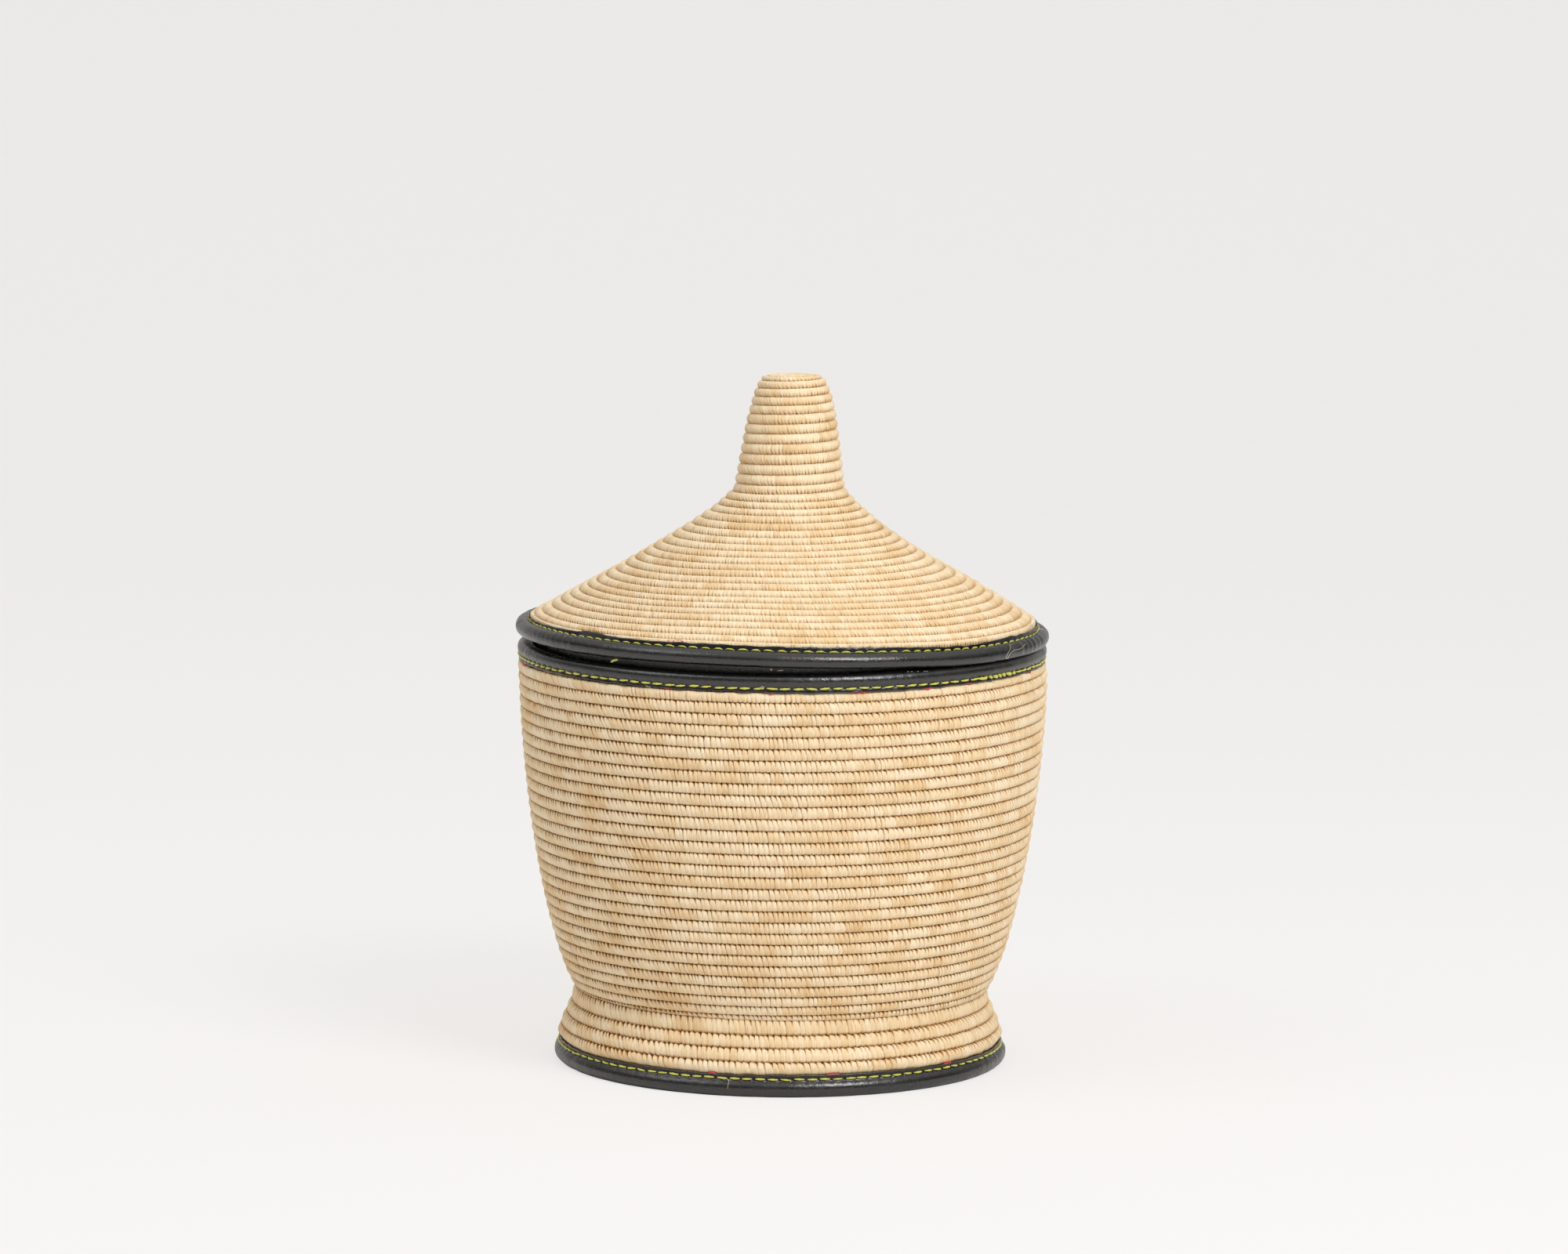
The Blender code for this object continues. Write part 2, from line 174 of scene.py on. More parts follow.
class BasketSizes(bpy.types.PropertyGroup):
    rim_radius: length_property("Rim Radius", "From the axis to the outside of the rim's roll", 138.4)
    waist_radius: length_property("Waist Radius", "Where the basket meets its foot", 108.8)
    foot_radius: length_property("Foot Radius", "From the axis to the outside of the foot's roll", 118.8)
    roll_radius: length_property("Roll Radius", "Half the thickness of the padded roll on the rim", 4.3)
    lid_roll_radius: length_property(
        "Lid Roll Radius", "Half the thickness of the padded roll on the lid", 4.2)
    foot_roll_radius: length_property(
        "Foot Roll Radius", "Half the thickness of the padded roll under the foot", 4.9)
    knob_radius: length_property("Knob Radius", "Where the knob rises from the cone", 29.3)
    knob_top_radius: length_property(
        "Knob Top Radius", "The knob's radius at its top, before its corner is rounded", 15.8)
    knob_height: length_property("Knob Height", "From the cone to the top of the knob", 59)
    wall_coil: length_property("Wall Coil", "Height of one turn of the coil in the floor and the wall", 6.0)
    lid_coil: length_property("Lid Coil", "Height of one turn of the coil in the cone", 5.27)
    wall_strand: length_property("Wall Strand", "Mean width of one raffia stitch on the wall", 2.55)
    foot_strand: length_property("Foot Strand", "Mean width of one raffia stitch on the foot", 3.1)
    lid_strand: length_property("Lid Strand", "Mean width of one raffia stitch on the lid", 1.95)
    seam_stitch: length_property(
        "Seam Stitch", "Length of one stitch of the yellow thread, with its gap", 6.7)
    knob_lean: length_property(
        "Knob Lean", "How far the top of the knob stands to the right of the axis", 4.85)
    foot_shift: length_property("Foot Shift", "How far the foot stands to the right of the axis", 1.2)
    rim_droop: length_property(
        "Rim Droop", "How far the front of the rim sags below the rest of it", 1.4)
    lid_tilt: length_property("Lid Tilt", "How much lower the right of the lid lies than its left", 2.8)


def seen(red, green, blue):
    """A colour of 0 to 255 as seen, made linear."""
    return tuple((channel / 255) ** 2.2 for channel in (red, green, blue))


def colour_property(name, description, *as_seen):
    return FloatVectorProperty(
        name=name, description=description, default=seen(*as_seen), subtype="COLOR", min=0, max=1)


class BasketColours(bpy.types.PropertyGroup):
    raffia_pale: colour_property("Pale Raffia", "The palest strands", 243, 224, 190)
    raffia: colour_property("Raffia", "Most of the strands", 232, 203, 159)
    raffia_tan: colour_property("Tan Raffia", "The darkest strands", 219, 182, 131)
    groove: colour_property("Groove", "The shaded fibre between stitches and turns", 150, 95, 14)
    leather: colour_property("Leather", "The dark leather of the bound edges", 27, 26, 25)
    cut_leather: colour_property("Cut Leather", "The raw edge of the leather", 92, 84, 76)
    thread: colour_property("Thread", "The waxed thread of the seams", 212, 209, 84)
    tape: colour_property("Tape", "The cloth tape under the leather", 200, 58, 72)
    straw: colour_property("Straw", "The bundles inside the rolls", 176, 148, 100)
    loose: colour_property("Loose Thread", "Loose ends of thread and frayed raffia", 222, 210, 170)
    fluff: colour_property("Fluff", "The fibres on the leather's cut edge", 150, 148, 140)
    floor: colour_property("Studio Floor", "The floor and the wall behind", 243, 241, 239)


class StageSettings(bpy.types.PropertyGroup):
    camera_distance: FloatProperty(
        name="Camera Distance", description="From the axis to the camera along the floor",
        default=3.17, unit="LENGTH")
    camera_height: FloatProperty(
        name="Camera Height", description="Of the camera above the floor", default=0.595, unit="LENGTH")
    camera_lens: FloatProperty(
        name="Lens", description="Focal length on a sensor 36 mm wide", default=140.1)
    camera_roll: FloatProperty(
        name="Camera Roll", description="Turn of the camera about its view",
        default=math.radians(0.5), subtype="ANGLE")
    key_power: FloatProperty(
        name="Key Lamp", description="Power of the large soft lamp", default=35.5, unit="POWER")
    fill_power: FloatProperty(
        name="Fill Lamp", description="Power of the soft lamp at the left", default=10.5, unit="POWER")
    sky: FloatProperty(name="Sky", description="Strength of the soft light from above", default=0.95, min=0)
    horizon: FloatProperty(
        name="Horizon", description="Strength of the soft light from level with the floor",
        default=0.1, min=0)
    glow: FloatProperty(
        name="Backdrop Glow", description="Share of the backdrop's colour that no shadow reaches",
        default=0.78, min=0, max=1, subtype="FACTOR")


def sizes():
    return bpy.context.scene.basket_sizes


def colours():
    return bpy.context.scene.basket_colours


# Section lines

def bearing(degrees):
    """The unit vector at this angle in the section, where 0 points outwards and 90 up."""
    angle = math.radians(degrees)
    return np.array([math.cos(angle), math.sin(angle)])


def curve(start, start_degrees, start_pull, end, end_degrees, end_pull, steps=160):
    """A smooth curve that leaves start and reaches end at these angles."""
    t = np.linspace(0, 1, steps)[:, None]
    first = start + bearing(start_degrees) * start_pull
    second = end - bearing(end_degrees) * end_pull
    return (1 - t)**3 * start + 3 * (1 - t)**2 * t * first + 3 * (1 - t) * t**2 * second + t**3 * end


def rounded_corner(before, corner, after, radius, steps=24):
    """Points round a corner that turns to the left."""
    start = (corner - before) / np.linalg.norm(corner - before)
    end = (after - corner) / np.linalg.norm(after - corner)
    first, last = math.atan2(start[1], start[0]), math.atan2(end[1], end[0])
    back = radius * math.tan((last - first) / 2)
    centre = corner - start * back + radius * np.array([-start[1], start[0]])
    angles = np.linspace(first, last, steps)
    return centre + radius * np.stack([np.sin(angles), -np.cos(angles)], 1)


class SectionLine:
    """A line of (radius, height) points, read by the length along it. Its outer side is on its right."""

    def __init__(self, *stretches):
        points = np.concatenate([np.atleast_2d(stretch) for stretch in stretches])
        step = np.linalg.norm(np.diff(points, axis=0), axis=1)
        self.points = points[np.concatenate([[True], step > 1e-7])]     # without those that fall together
        step = np.linalg.norm(np.diff(self.points, axis=0), axis=1)
        self.marks = np.concatenate([[0], np.cumsum(step)])
        self.length = self.marks[-1]
        along = np.gradient(self.points, self.marks, axis=0)
        self.along = along / np.linalg.norm(along, axis=1)[:, None]

    def at(self, mark, height):
        """Radii and heights at these marks, lifted off the line by height. The line runs on past its ends."""
        inside = np.clip(mark, 0, self.length)
        radius, level, along_r, along_z = (
            np.interp(inside, self.marks, values) for values in (*self.points.T, *self.along.T))
        past = mark - inside
        return (radius + along_r * past + along_z * height, level + along_z * past - along_r * height)


def smooth(value, low, high):
    """Rises from 0 at low to 1 at high without a corner."""
    t = np.clip((value - low) / (high - low), 0, 1)
    return t * t * (3 - 2 * t)


def between(value, start, full, fade, end):
    """Rises from 0 to 1 between the first two limits, and falls back to 0 between the last two."""
    return smooth(value, start, full) * (1 - smooth(value, fade, end))


def ripple(angle, rng, lowest, highest):
    """A random wave round the axis with this many humps, from about -1 to 1."""
    counts = np.arange(lowest, highest + 1)
    phases = rng.uniform(0, TURN, len(counts))
    wave = sum(np.cos(count * angle + phase) for count, phase in zip(counts, phases))
    return wave / math.sqrt(len(counts)) * 0.8


def bearings(count):
    """This many angles, evenly round the axis."""
    return np.linspace(0, TURN, count, endpoint=False)


def round_axis(radius, angle, level):
    """Points in space, one a row, from arrays of radii, angles and heights."""
    return np.stack([radius * np.cos(angle), radius * np.sin(angle), level], -1).reshape(-1, 3)


# Meshes

def new_piece(name, points, quads, body, material, replaced=(), caps=()):
    """Makes a smooth mesh piece from arrays of points and of four-cornered faces."""
    mesh = bpy.data.meshes.new(name)
    loops = np.concatenate([quads.ravel(), *(np.asarray(cap) for cap in caps)]).astype(np.int32)
    corners = np.concatenate([np.full(len(quads), 4), [len(cap) for cap in caps]]).astype(np.int32)
    mesh.vertices.add(len(points))
    mesh.vertices.foreach_set("co", points.astype(np.float32).ravel())
    mesh.loops.add(len(loops))
    mesh.loops.foreach_set("vertex_index", loops)
    mesh.polygons.add(len(corners))
    mesh.polygons.foreach_set("loop_start", np.concatenate([[0], np.cumsum(corners)[:-1]]).astype(np.int32))
    mesh.update(calc_edges=True)
    mesh.validate()
    mesh.shade_smooth()
    mesh.materials.append(material)
    piece = bpy.data.objects.new(name, mesh)
    bpy.context.scene.collection.objects.link(piece)
    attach(piece, body)
    if replaced:
        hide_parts(*replaced)
    return piece


def add_attribute(piece, name, values, domain="POINT"):
    attribute = piece.data.attributes.new(name, "FLOAT", domain)
    attribute.data.foreach_set("value", values.astype(np.float32).ravel())


def add_map(piece, name, corners):
    layer = piece.data.uv_layers.new(name=name, do_init=False)
    layer.uv.foreach_set("vector", corners.astype(np.float32).ravel())


def grid_quads(columns, rows, wrap_columns=False, wrap_rows=False):
    """Faces over a grid of points stored column by column."""
    column = np.arange(columns if wrap_columns else columns - 1)
    row = np.arange(rows if wrap_rows else rows - 1)
    left, low = np.meshgrid(column, row, indexing="ij")
    right, high = (left + 1) % columns, (low + 1) % rows
    corners = [left * rows + low, right * rows + low, right * rows + high, left * rows + high]
    return np.stack(corners, -1).reshape(-1, 4)


def tube(rings, sides, base=0, way=1):
    """Faces and end caps of a tube whose first point has the number base. Way -1 turns them over."""
    quads = grid_quads(rings, sides, wrap_rows=True)[:, ::way] + base
    first, last = np.arange(sides)[::way] + base, np.arange(sides)[::-way] + base + (rings - 1) * sides
    return quads, [first, last]


# How the soft basket has settled

def degrees_off(angle):
    """Degrees round from the front, below 0 on the left."""
    return np.degrees(angle - FRONT + math.pi) % 360 - 180


def facing_front(angle):
    """1 at the front, falling to 0 at the back."""
    return (0.5 + 0.5 * np.cos(angle - FRONT))**4


def basket_settles(points):
    """The rim has sunk a little at the front, and the wall leans."""
    angle = np.arctan2(points[:, 1], points[:, 0])
    share = smooth(points[:, 2], 0.6 * RIM_HEIGHT, RIM_HEIGHT)
    points[:, 2] -= sizes().rim_droop * facing_front(angle) * share
    points[:, 0] += np.interp(points[:, 2] / MM, *np.transpose(WALL_LEAN)) * MM
    return points


def lid_settles(points):
    """The lid's edge follows the rim that it rests on, and its knob leans to the right."""
    # Radii and heights are in mm, the heights from the lid's edge
    base = LID_TOP - sizes().knob_height
    angle = np.arctan2(points[:, 1], points[:, 0])
    right = np.cos(angle)
    radius = np.hypot(points[:, 0], points[:, 1]) / MM
    height = (points[:, 2] - LID_HEIGHT) / MM
    edge = 1 - smooth(points[:, 2], LID_HEIGHT, base)
    # At the right the cone has spread and squeezed the roll
    spread_out = LID_SPREAD * smooth(right, 0.75, 0.97) * edge * smooth(height, 0, 4)
    spread_out *= between(radius, 60, 110, 130, 138)
    points[:, :2] *= 1 + (spread_out / (np.maximum(radius, 1) * MM))[:, None]
    # The right lies low, and at the left the cone sags halfway up
    tilt = sizes().lid_tilt * (smooth(right, -0.35, 0.85) - 0.25 + 0.4 * smooth(right, 0.4, 0.75))
    tilt *= 1 - smooth(height, 0, 46)
    sag = LID_SAG * smooth(-right, 0.1, 0.9) * between(height, 2, 13, 23, 58)
    points[:, 2] -= sizes().rim_droop * facing_front(angle) * edge + tilt + sag
    points[:, 0] += LID_SHIFT * edge
    points[:, 0] += sizes().knob_lean * np.interp((points[:, 2] - base) / MM, *np.transpose(KNOB_LEAN))
    return points


def foot_settles(points):
    """The foot was sewn on a little to the right."""
    points[:, 0] += sizes().foot_shift
    return points


# The coil and its stitches

class Coil:
    """One raffia-wrapped coil laid turn by turn along a section line."""

    def __init__(self, line, turns, marks, face, settle, seed, spin, tint, strand, thick, boxy,
                 covered=None, calm=None):
        self.line = line
        self.turns = turns          # turn numbers, and beside each the mark on the line that it has reached
        self.marks = marks
        self.crease, self.shade, self.bend = np.array(face) * [[MM], [1], [MM]]
        self.settle = settle
        self.rng = np.random.default_rng(seed)
        self.spin = spin            # turns by which the whole coil is rotated
        self.mean_tint = tint       # 0 for bleached raffia, 1 for tan
        self.strand = strand        # mean width of a stitch by mark
        self.thick = thick          # thickness of the coil by mark
        self.boxy = boxy            # 2 for a round coil, more for one with flat sides, by mark
        self.covered = covered      # how far the line is pressed down by mark and angle
        self.calm = calm            # how deep its notches are by mark, from 0 to 1
        self.stitch()

    def reached(self, turn):
        return np.interp(turn, self.turns, self.marks)

    def angle(self, turn):
        return TURN * (turn + self.spin)

    def at_sides(self, turn):
        """0 at the front and the back, 1 at the left and the right."""
        return smooth(np.abs(np.cos(self.angle(turn))), 0.2, 0.8)

    def stitch(self):
        """Sets the turn at which each stitch begins, and how it differs from the others."""
        first, last = self.turns[0] - 1, self.turns[-1]
        turn = np.linspace(first, last, int((last - first) * STEPS_PER_TURN) + 1)
        middle = (self.reached(turn) + self.reached(turn + 1)) / 2
        radius, _ = self.line.at(middle, 0)
        pace = TURN * np.maximum(radius, 2 * MM) * np.gradient(turn)
        count = np.concatenate([[0], np.cumsum((pace / self.strand(middle))[1:])])
        number = int(count[-1])
        self.number = number
        rng = self.rng
        # Shares of the mean width that the stitches take
        shares = rng.normal(1, 0.17, number).clip(0.55, 1.5)
        starts = np.concatenate([[0], np.cumsum(shares)])
        self.starts = np.interp(starts / starts[-1] * count[-1], count, turn)
        self.lengths = np.interp(self.starts, turn, np.concatenate([[0], np.cumsum(pace[1:])]))
        # The degrees by which they lean drift along the coil, and differ from one stitch to the next
        drift = rng.normal(0, 3, number // DRIFT_EVERY + 2)
        drift = np.interp(np.arange(number + 1), np.arange(0, number + DRIFT_EVERY + 1, DRIFT_EVERY), drift)
        self.lean = np.tan(np.radians(LEAN + drift + rng.normal(0, 1.8, number + 1)))
        self.tilt = rng.normal(0, 0.012, number)            # how much its left shoulder stands over its right
        self.swell = rng.normal(1, 0.012, number)           # how thick it is
        # How deep the crease at each edge is, down the coil's face and between its turns
        self.gap = np.exp(rng.normal(-0.35, 0.7, number + 1)).clip(0.15, 2.6)
        self.notch = rng.uniform(0.45, 1.35, number + 1)
        self.fold = rng.uniform(-0.2, 1, number)            # how deep the fold along its middle is
        self.fold_place = rng.uniform(0.34, 0.66, number)
        # Strands change every few stitches, and each stitch differs a little from the one before
        runs = rng.integers(2, 11, number)
        levels = rng.normal(self.mean_tint, 0.13, number)
        self.tint = (np.repeat(levels, runs)[:number] + rng.normal(0, 0.06, number)).clip(0, 1)

    def lay_out(self, first, last):
        """The turn at each point of these stitches, in columns, and each column's stitch, edge and place.

        The places are 0 at a stitch's left edge, 1 and 3 at its shoulders and 2 at the fold between them.
        """
        rows = len(RING_DEGREES)
        edge_turn = self.starts[first:last + 1]
        start = edge_turn[:-1, None] + np.zeros(rows)
        width = np.diff(edge_turn)[:, None]
        inset = (INSET + SIDE_INSET * self.at_sides(start)) * self.crease / self.crease.max()
        columns = [
            start, start + width * (LEFT_SHOULDER + inset), start + width * self.fold_place[first:last, None],
            start + width * (RIGHT_SHOULDER - inset)]
        turn = np.concatenate([np.stack(columns, 1).reshape(-1, rows), np.full((1, rows), edge_turn[-1])])
        stitch = np.append(np.repeat(np.arange(first, last), 4), last - 1)
        place = np.append(np.tile([0, 1, 2, 3], last - first), 0)
        return turn, stitch, np.append(stitch[:-1], last), place[:, None]

    def dents(self, turn, middle, stitch, edge, place):
        """How deep each point is sunk: creases between stitches, and a shallow fold down each middle."""
        ring = np.radians(RING_DEGREES)
        crease = self.crease
        if self.calm is not None:
            # Where the notches are shallow, the lines down the coil's face are deeper
            calm = self.calm(middle)
            crease = crease * np.where(np.sin(ring) > 0.3, calm, 2 - calm)
        dive = np.abs(np.sin(ring))
        between_stitches = self.notch[edge][:, None] * dive + self.gap[edge][:, None] * (1 - dive)
        open_by = FRONT_OPEN + (1 - FRONT_OPEN) * self.at_sides(turn)
        beside_notch = NOTCH_SLOPE * self.notch[stitch + 1][:, None] * dive * open_by
        fold = FOLD * self.fold[stitch][:, None] * np.clip(np.cos(ring * 1.2), 0, 1)
        return np.select(
            [place == 0, place == 2, place == 3], [crease * between_stitches, fold, crease * beside_notch], 0)

    def piece(self, name, first, last, body, replaced):
        """The stitches from number first up to last as one closed piece."""
        turn, stitch, edge, place = self.lay_out(first, last)
        columns, rows = turn.shape
        # Where the turn lies, and the shape of its section there
        low, high = self.reached(turn), self.reached(turn + 1)
        middle = (low + high) / 2
        half = (high - low) / 2
        thick = self.thick(middle) / 2
        inner = np.clip(turn, self.turns[0] + 0.5, self.turns[-1] - 0.5)
        full = (self.reached(inner + 0.5) - self.reached(inner - 0.5)) / 2
        grown = np.sqrt(np.clip(half / full, 0.02, 1))
        power = 2 / self.boxy(middle)
        ring = np.radians(RING_DEGREES)
        cos, sin = np.cos(ring), np.sin(ring)
        out = np.sign(cos) * np.abs(cos)**power * thick * grown
        up = np.sign(sin) * np.abs(sin)**power * (half + PRESSED)
        sink = self.dents(turn, middle, stitch, edge, place)
        factor = 1 - np.clip(sink / (np.hypot(out, up) + 1e-6), -0.1, 0.6)
        tilt = (1 * (place == 1) - 1 * (place == 3)) * self.tilt[stitch][:, None]
        factor = factor * (self.swell[stitch][:, None] + tilt)
        mark = middle + up * factor
        height = -thick + out * factor
        # Stitches lean over the coil's outside and come back round its inside
        left = smooth(-np.cos(self.angle(turn)), 0.25, 0.95)
        lean = -up * (self.lean[edge][:, None] + LEFT_LEAN * left) - self.bend
        radius, _ = self.line.at(middle, -thick)
        angle = self.angle(turn) + lean / np.maximum(radius, 4 * MM)
        if self.covered is not None:
            height = height - self.covered(mark, angle)
        radius, level = self.line.at(np.clip(mark, self.marks[0], self.marks[-1]), height)
        points = self.settle(round_axis(radius, angle, level))
        quads, caps = tube(columns, rows)
        piece = new_piece(name, points, quads, body, raffia_finish(), replaced, caps)
        # What the finish reads: the strand's tint, how much painted shade a point gets, or painted highlight
        # where that is below 0, and where it is across the strand
        per_stitch = np.repeat(self.tint[first:last], 4 * rows)
        add_attribute(piece, "tint", np.append(per_stitch, [0.5, 0.5]), "FACE")
        # Painted shade in the dents; from the left, the right sides of the notches are what is seen, so they
        # get more of it
        dent_shade = sink * (1 + left * (place == 3)) / SHADE_DEPTH
        # At the left the underside of each turn gets less painted shade
        shade = self.shade * np.where(sin < 0, 1 - LEFT_LESS_SHADE * left, 1)
        add_attribute(piece, "hollow", np.clip(shade + dent_shade, -0.5, 1))
        self.add_strand_maps(piece, first, last, rows, columns, caps)

    def add_strand_maps(self, piece, first, last, rows, columns, caps):
        """One map that runs across and along each strand, and one flat chart of the whole coil."""
        number = last - first
        shares = np.array([0.0, LEFT_SHOULDER, 0.5, RIGHT_SHOULDER, 1.0])
        left_share, right_share = np.tile(shares[:-1], number), np.tile(shares[1:], number)
        length = self.lengths[first:last + 1]
        width = np.repeat(np.diff(length), 4)
        offset = np.repeat(self.rng.uniform(0, 50, number), 4)
        row = np.arange(rows)
        low = np.broadcast_to(row * 2.0, (columns - 1, rows))
        strand = corners_of(
            offset + left_share * width / MM, offset + right_share * width / MM, low, low + 2.0)
        # The chart folds the coil's length into strips that fill a square, with a margin round each strip
        girth = 20 * MM
        margin = 0.03
        strips = max(1, round(math.sqrt((length[-1] - length[0]) / girth)))
        strip_length = (length[-1] - length[0]) / strips
        start = length[:-1] - length[0]
        strip = np.minimum(np.floor(start / strip_length), strips - 1)
        begin = np.repeat((start - strip * strip_length) / (strip_length * (1 + margin)), 4)
        share = width / (strip_length * (1 + margin))
        row_share = (1 - 2 * margin) / rows
        low = (np.repeat(strip, 4)[:, None] + margin + row_share * row) / strips
        high = low + row_share / strips
        chart = corners_of(begin + share * left_share, begin + share * right_share, low, high)
        spare = np.zeros((sum(len(cap) for cap in caps), 2))
        add_map(piece, "Strand", np.concatenate([strand, spare]))
        add_map(piece, "OFBake", np.concatenate([chart, spare]))

    def add_pieces(self, name, body, replaced):
        """The whole coil, in as few pieces as keep each one light."""
        parts = math.ceil(self.number / MAX_STITCHES)
        edges = np.linspace(0, self.number, parts + 1).astype(int)
        for i, (first, last) in enumerate(zip(edges, edges[1:])):
            label = name if parts == 1 else f"{name}_{i + 1}"
            self.piece(label, first, last, body, replaced)


def corners_of(left, right, low, high):
    """Map corners of a grid of faces, column by column."""
    left, right = left[:, None] + 0 * low, right[:, None] + 0 * low
    corners = [(left, low), (right, low), (right, high), (left, high)]
    return np.stack([np.stack(corner, -1) for corner in corners], 2).reshape(-1, 2)


# Finishes

class Nodes:
    """The shader nodes of a material or a world, with short ways to add to them."""

    def __init__(self, owner):
        owner.use_nodes = True
        self.nodes, self.links = owner.node_tree.nodes, owner.node_tree.links

    def feed(self, node, inputs):
        """Gives the node's inputs, by name or number, these values, or links them to these sockets."""
        for label, value in inputs.items():
            socket = node.inputs[label]
            if isinstance(value, bpy.types.NodeSocket):
                self.links.new(value, socket)
            elif socket.type == "RGBA":
                socket.default_value = (*value, 1)
            else:
                socket.default_value = value

    def add(self, kind, inputs=None, **settings):
        node = self.nodes.new("ShaderNode" + kind)
        for key, value in settings.items():
            setattr(node, key, value)
        self.feed(node, inputs or {})
        return node

    def mixed(self, share, first, second):
        """A mix of two colours."""
        return self.add("Mix", {0: share, 6: first, 7: second}, data_type="RGBA").outputs[2]

    def worked(self, operation, first, second=0.0):
        """What a sum with this operation comes to."""
        return self.add("Math", {0: first, 1: second}, operation=operation).outputs[0]

    def spread(self, value, low, high, new_low, new_high):
        """The value moved from one range to another."""
        return self.add("MapRange", dict(enumerate((value, low, high, new_low, new_high)))).outputs[0]

    def attribute(self, name):
        return self.add("Attribute", attribute_name=name).outputs["Fac"]

    def place(self):
        return self.add("TexCoord").outputs["Object"]

    def noise(self, place, scale, detail, roughness):
        inputs = {"Vector": place, "Scale": scale, "Detail": detail, "Roughness": roughness}
        return self.add("TexNoise", inputs).outputs["Fac"]

    def along_strand(self, strand, across, along):
        """Noise drawn out along the strands, with this many waves to the millimetre across and along them."""
        stretch = self.add("Mapping", {"Vector": strand, "Scale": (across, along, 1)})
        return self.noise(stretch.outputs[0], 1.0, 3.0, 0.65)

    def bump(self, height, distance):
        return self.add("Bump", {"Height": height, "Distance": distance}).outputs["Normal"]


def made_once(name, dress, *details):
    """The material of this name. It is dressed when it is first asked for."""
    material = bpy.data.materials.get(name)
    if material is None:
        material = bpy.data.materials.new(name)
        dress(Nodes(material), *details)
    return material


def dress_raffia(tree):
    """Dry palm fibre: strands of changing tint with fine lines along them, with painted shade in the hollows,
    partly their darker fibre, and a painted highlight on the crests.
    """
    palette = colours()
    hollow = tree.attribute("hollow")
    strand = tree.add("UVMap", uv_map="Strand").outputs["UV"]
    fibre = tree.along_strand(strand, 1.4, 0.07)
    lines = tree.along_strand(strand, 3.4, 0.11)
    patches = tree.noise(tree.place(), 55.0, 3.0, 0.6)
    # Where the hollow value is below 0 it is a painted highlight, which makes the crests of the turns paler
    level = tree.worked("ADD", tree.attribute("tint"), tree.worked("MINIMUM", hollow))
    for noise, reach in ((patches, 0.17), (fibre, 0.27), (lines, 0.2)):
        level = tree.worked("ADD", level, tree.spread(noise, 0.3, 0.7, -reach, reach))
    ramp = tree.add("ValToRGB", {0: level})
    pale, tan = ramp.color_ramp.elements
    pale.position, pale.color = 0.05, (*palette.raffia_pale, 1)
    tan.position, tan.color = 0.95, (*palette.raffia_tan, 1)
    ramp.color_ramp.elements.new(0.5).color = (*palette.raffia, 1)
    # Painted shade in the grooves and creases, which is partly the darker fibre that shows there
    shade = tree.spread(hollow, 0.06, 0.9, 0.0, 0.96)
    colour = tree.mixed(shade, ramp.outputs["Color"], palette.groove)
    # Thin dark splits where one of the fibres parts from the next
    split = tree.worked("ABSOLUTE", tree.worked("SUBTRACT", lines, 0.47))
    split = tree.spread(split, 0.0, 0.035, 0.3, 0.0)
    tree.feed(tree.nodes["Principled BSDF"], {
        "Base Color": tree.mixed(split, colour, palette.groove),
        "Roughness": tree.spread(fibre, 0.3, 0.7, 0.46, 0.68),
        "Specular IOR Level": tree.spread(hollow, 0.0, 0.4, 0.25, 0.0),
        "Normal": tree.bump(tree.worked("ADD", fibre, lines), 0.2 * MM),
    })


def dress_leather(tree):
    """Thin dark leather with a satin face, fine grain and a raw, lighter cut edge."""
    palette = colours()
    place = tree.place()
    grain = tree.add("TexVoronoi", {"Vector": place, "Scale": 1500.0}, feature="SMOOTH_F1")
    creases = tree.noise(place, 420.0, 4.0, 0.6)
    scuffs = tree.noise(place, 60.0, 5.0, 0.7)
    cut = tree.attribute("cut")
    worn = tree.spread(scuffs, 0.52, 0.72, 0.0, 0.22)
    colour = tree.mixed(worn, palette.leather, [channel * 2.4 + 0.01 for channel in palette.leather])
    tree.feed(tree.nodes["Principled BSDF"], {
        "Base Color": tree.mixed(cut, colour, palette.cut_leather),
        "Roughness": tree.spread(scuffs, 0.3, 0.7, 0.2, 0.34),
        "Specular IOR Level": tree.spread(cut, -1.0, 0.0, 0.45, 0.75),
        "Normal": tree.bump(tree.worked("ADD", grain.outputs["Distance"], creases), 0.1 * MM),
    })


def dress_cloth(tree, colour, rough, threads):
    """Plain woven cloth or twisted thread, with this many threads to the millimetre."""
    weave = tree.noise(tree.place(), threads / MM, 3.0, 0.7)
    dark = [channel * 0.45 for channel in colour]
    tree.feed(tree.nodes["Principled BSDF"], {
        "Base Color": tree.mixed(tree.spread(weave, 0.3, 0.65, 0.75, 0.0), colour, dark),
        "Roughness": rough,
        "Sheen Weight": 0.2,
        "Normal": tree.bump(weave, 0.2 * MM),
    })


def raffia_finish():
    return made_once("raffia_strands", dress_raffia)


def leather_finish():
    return made_once("black_leather", dress_leather)


def thread_finish():
    return made_once("waxed_thread", dress_cloth, colours().thread, 0.5, 1.6)


def loose_finish():
    return made_once("loose_thread", dress_cloth, colours().loose, 0.7, 2.0)


def fluff_finish():
    return made_once("fluff", dress_cloth, colours().fluff, 0.8, 2.0)


def tape_finish():
    return made_once("red_cloth", dress_cloth, colours().tape, 0.9, 2.5)


def straw_finish():
    return made_once("straw_bundle", dress_cloth, colours().straw, 0.85, 0.8)


# Bound edges

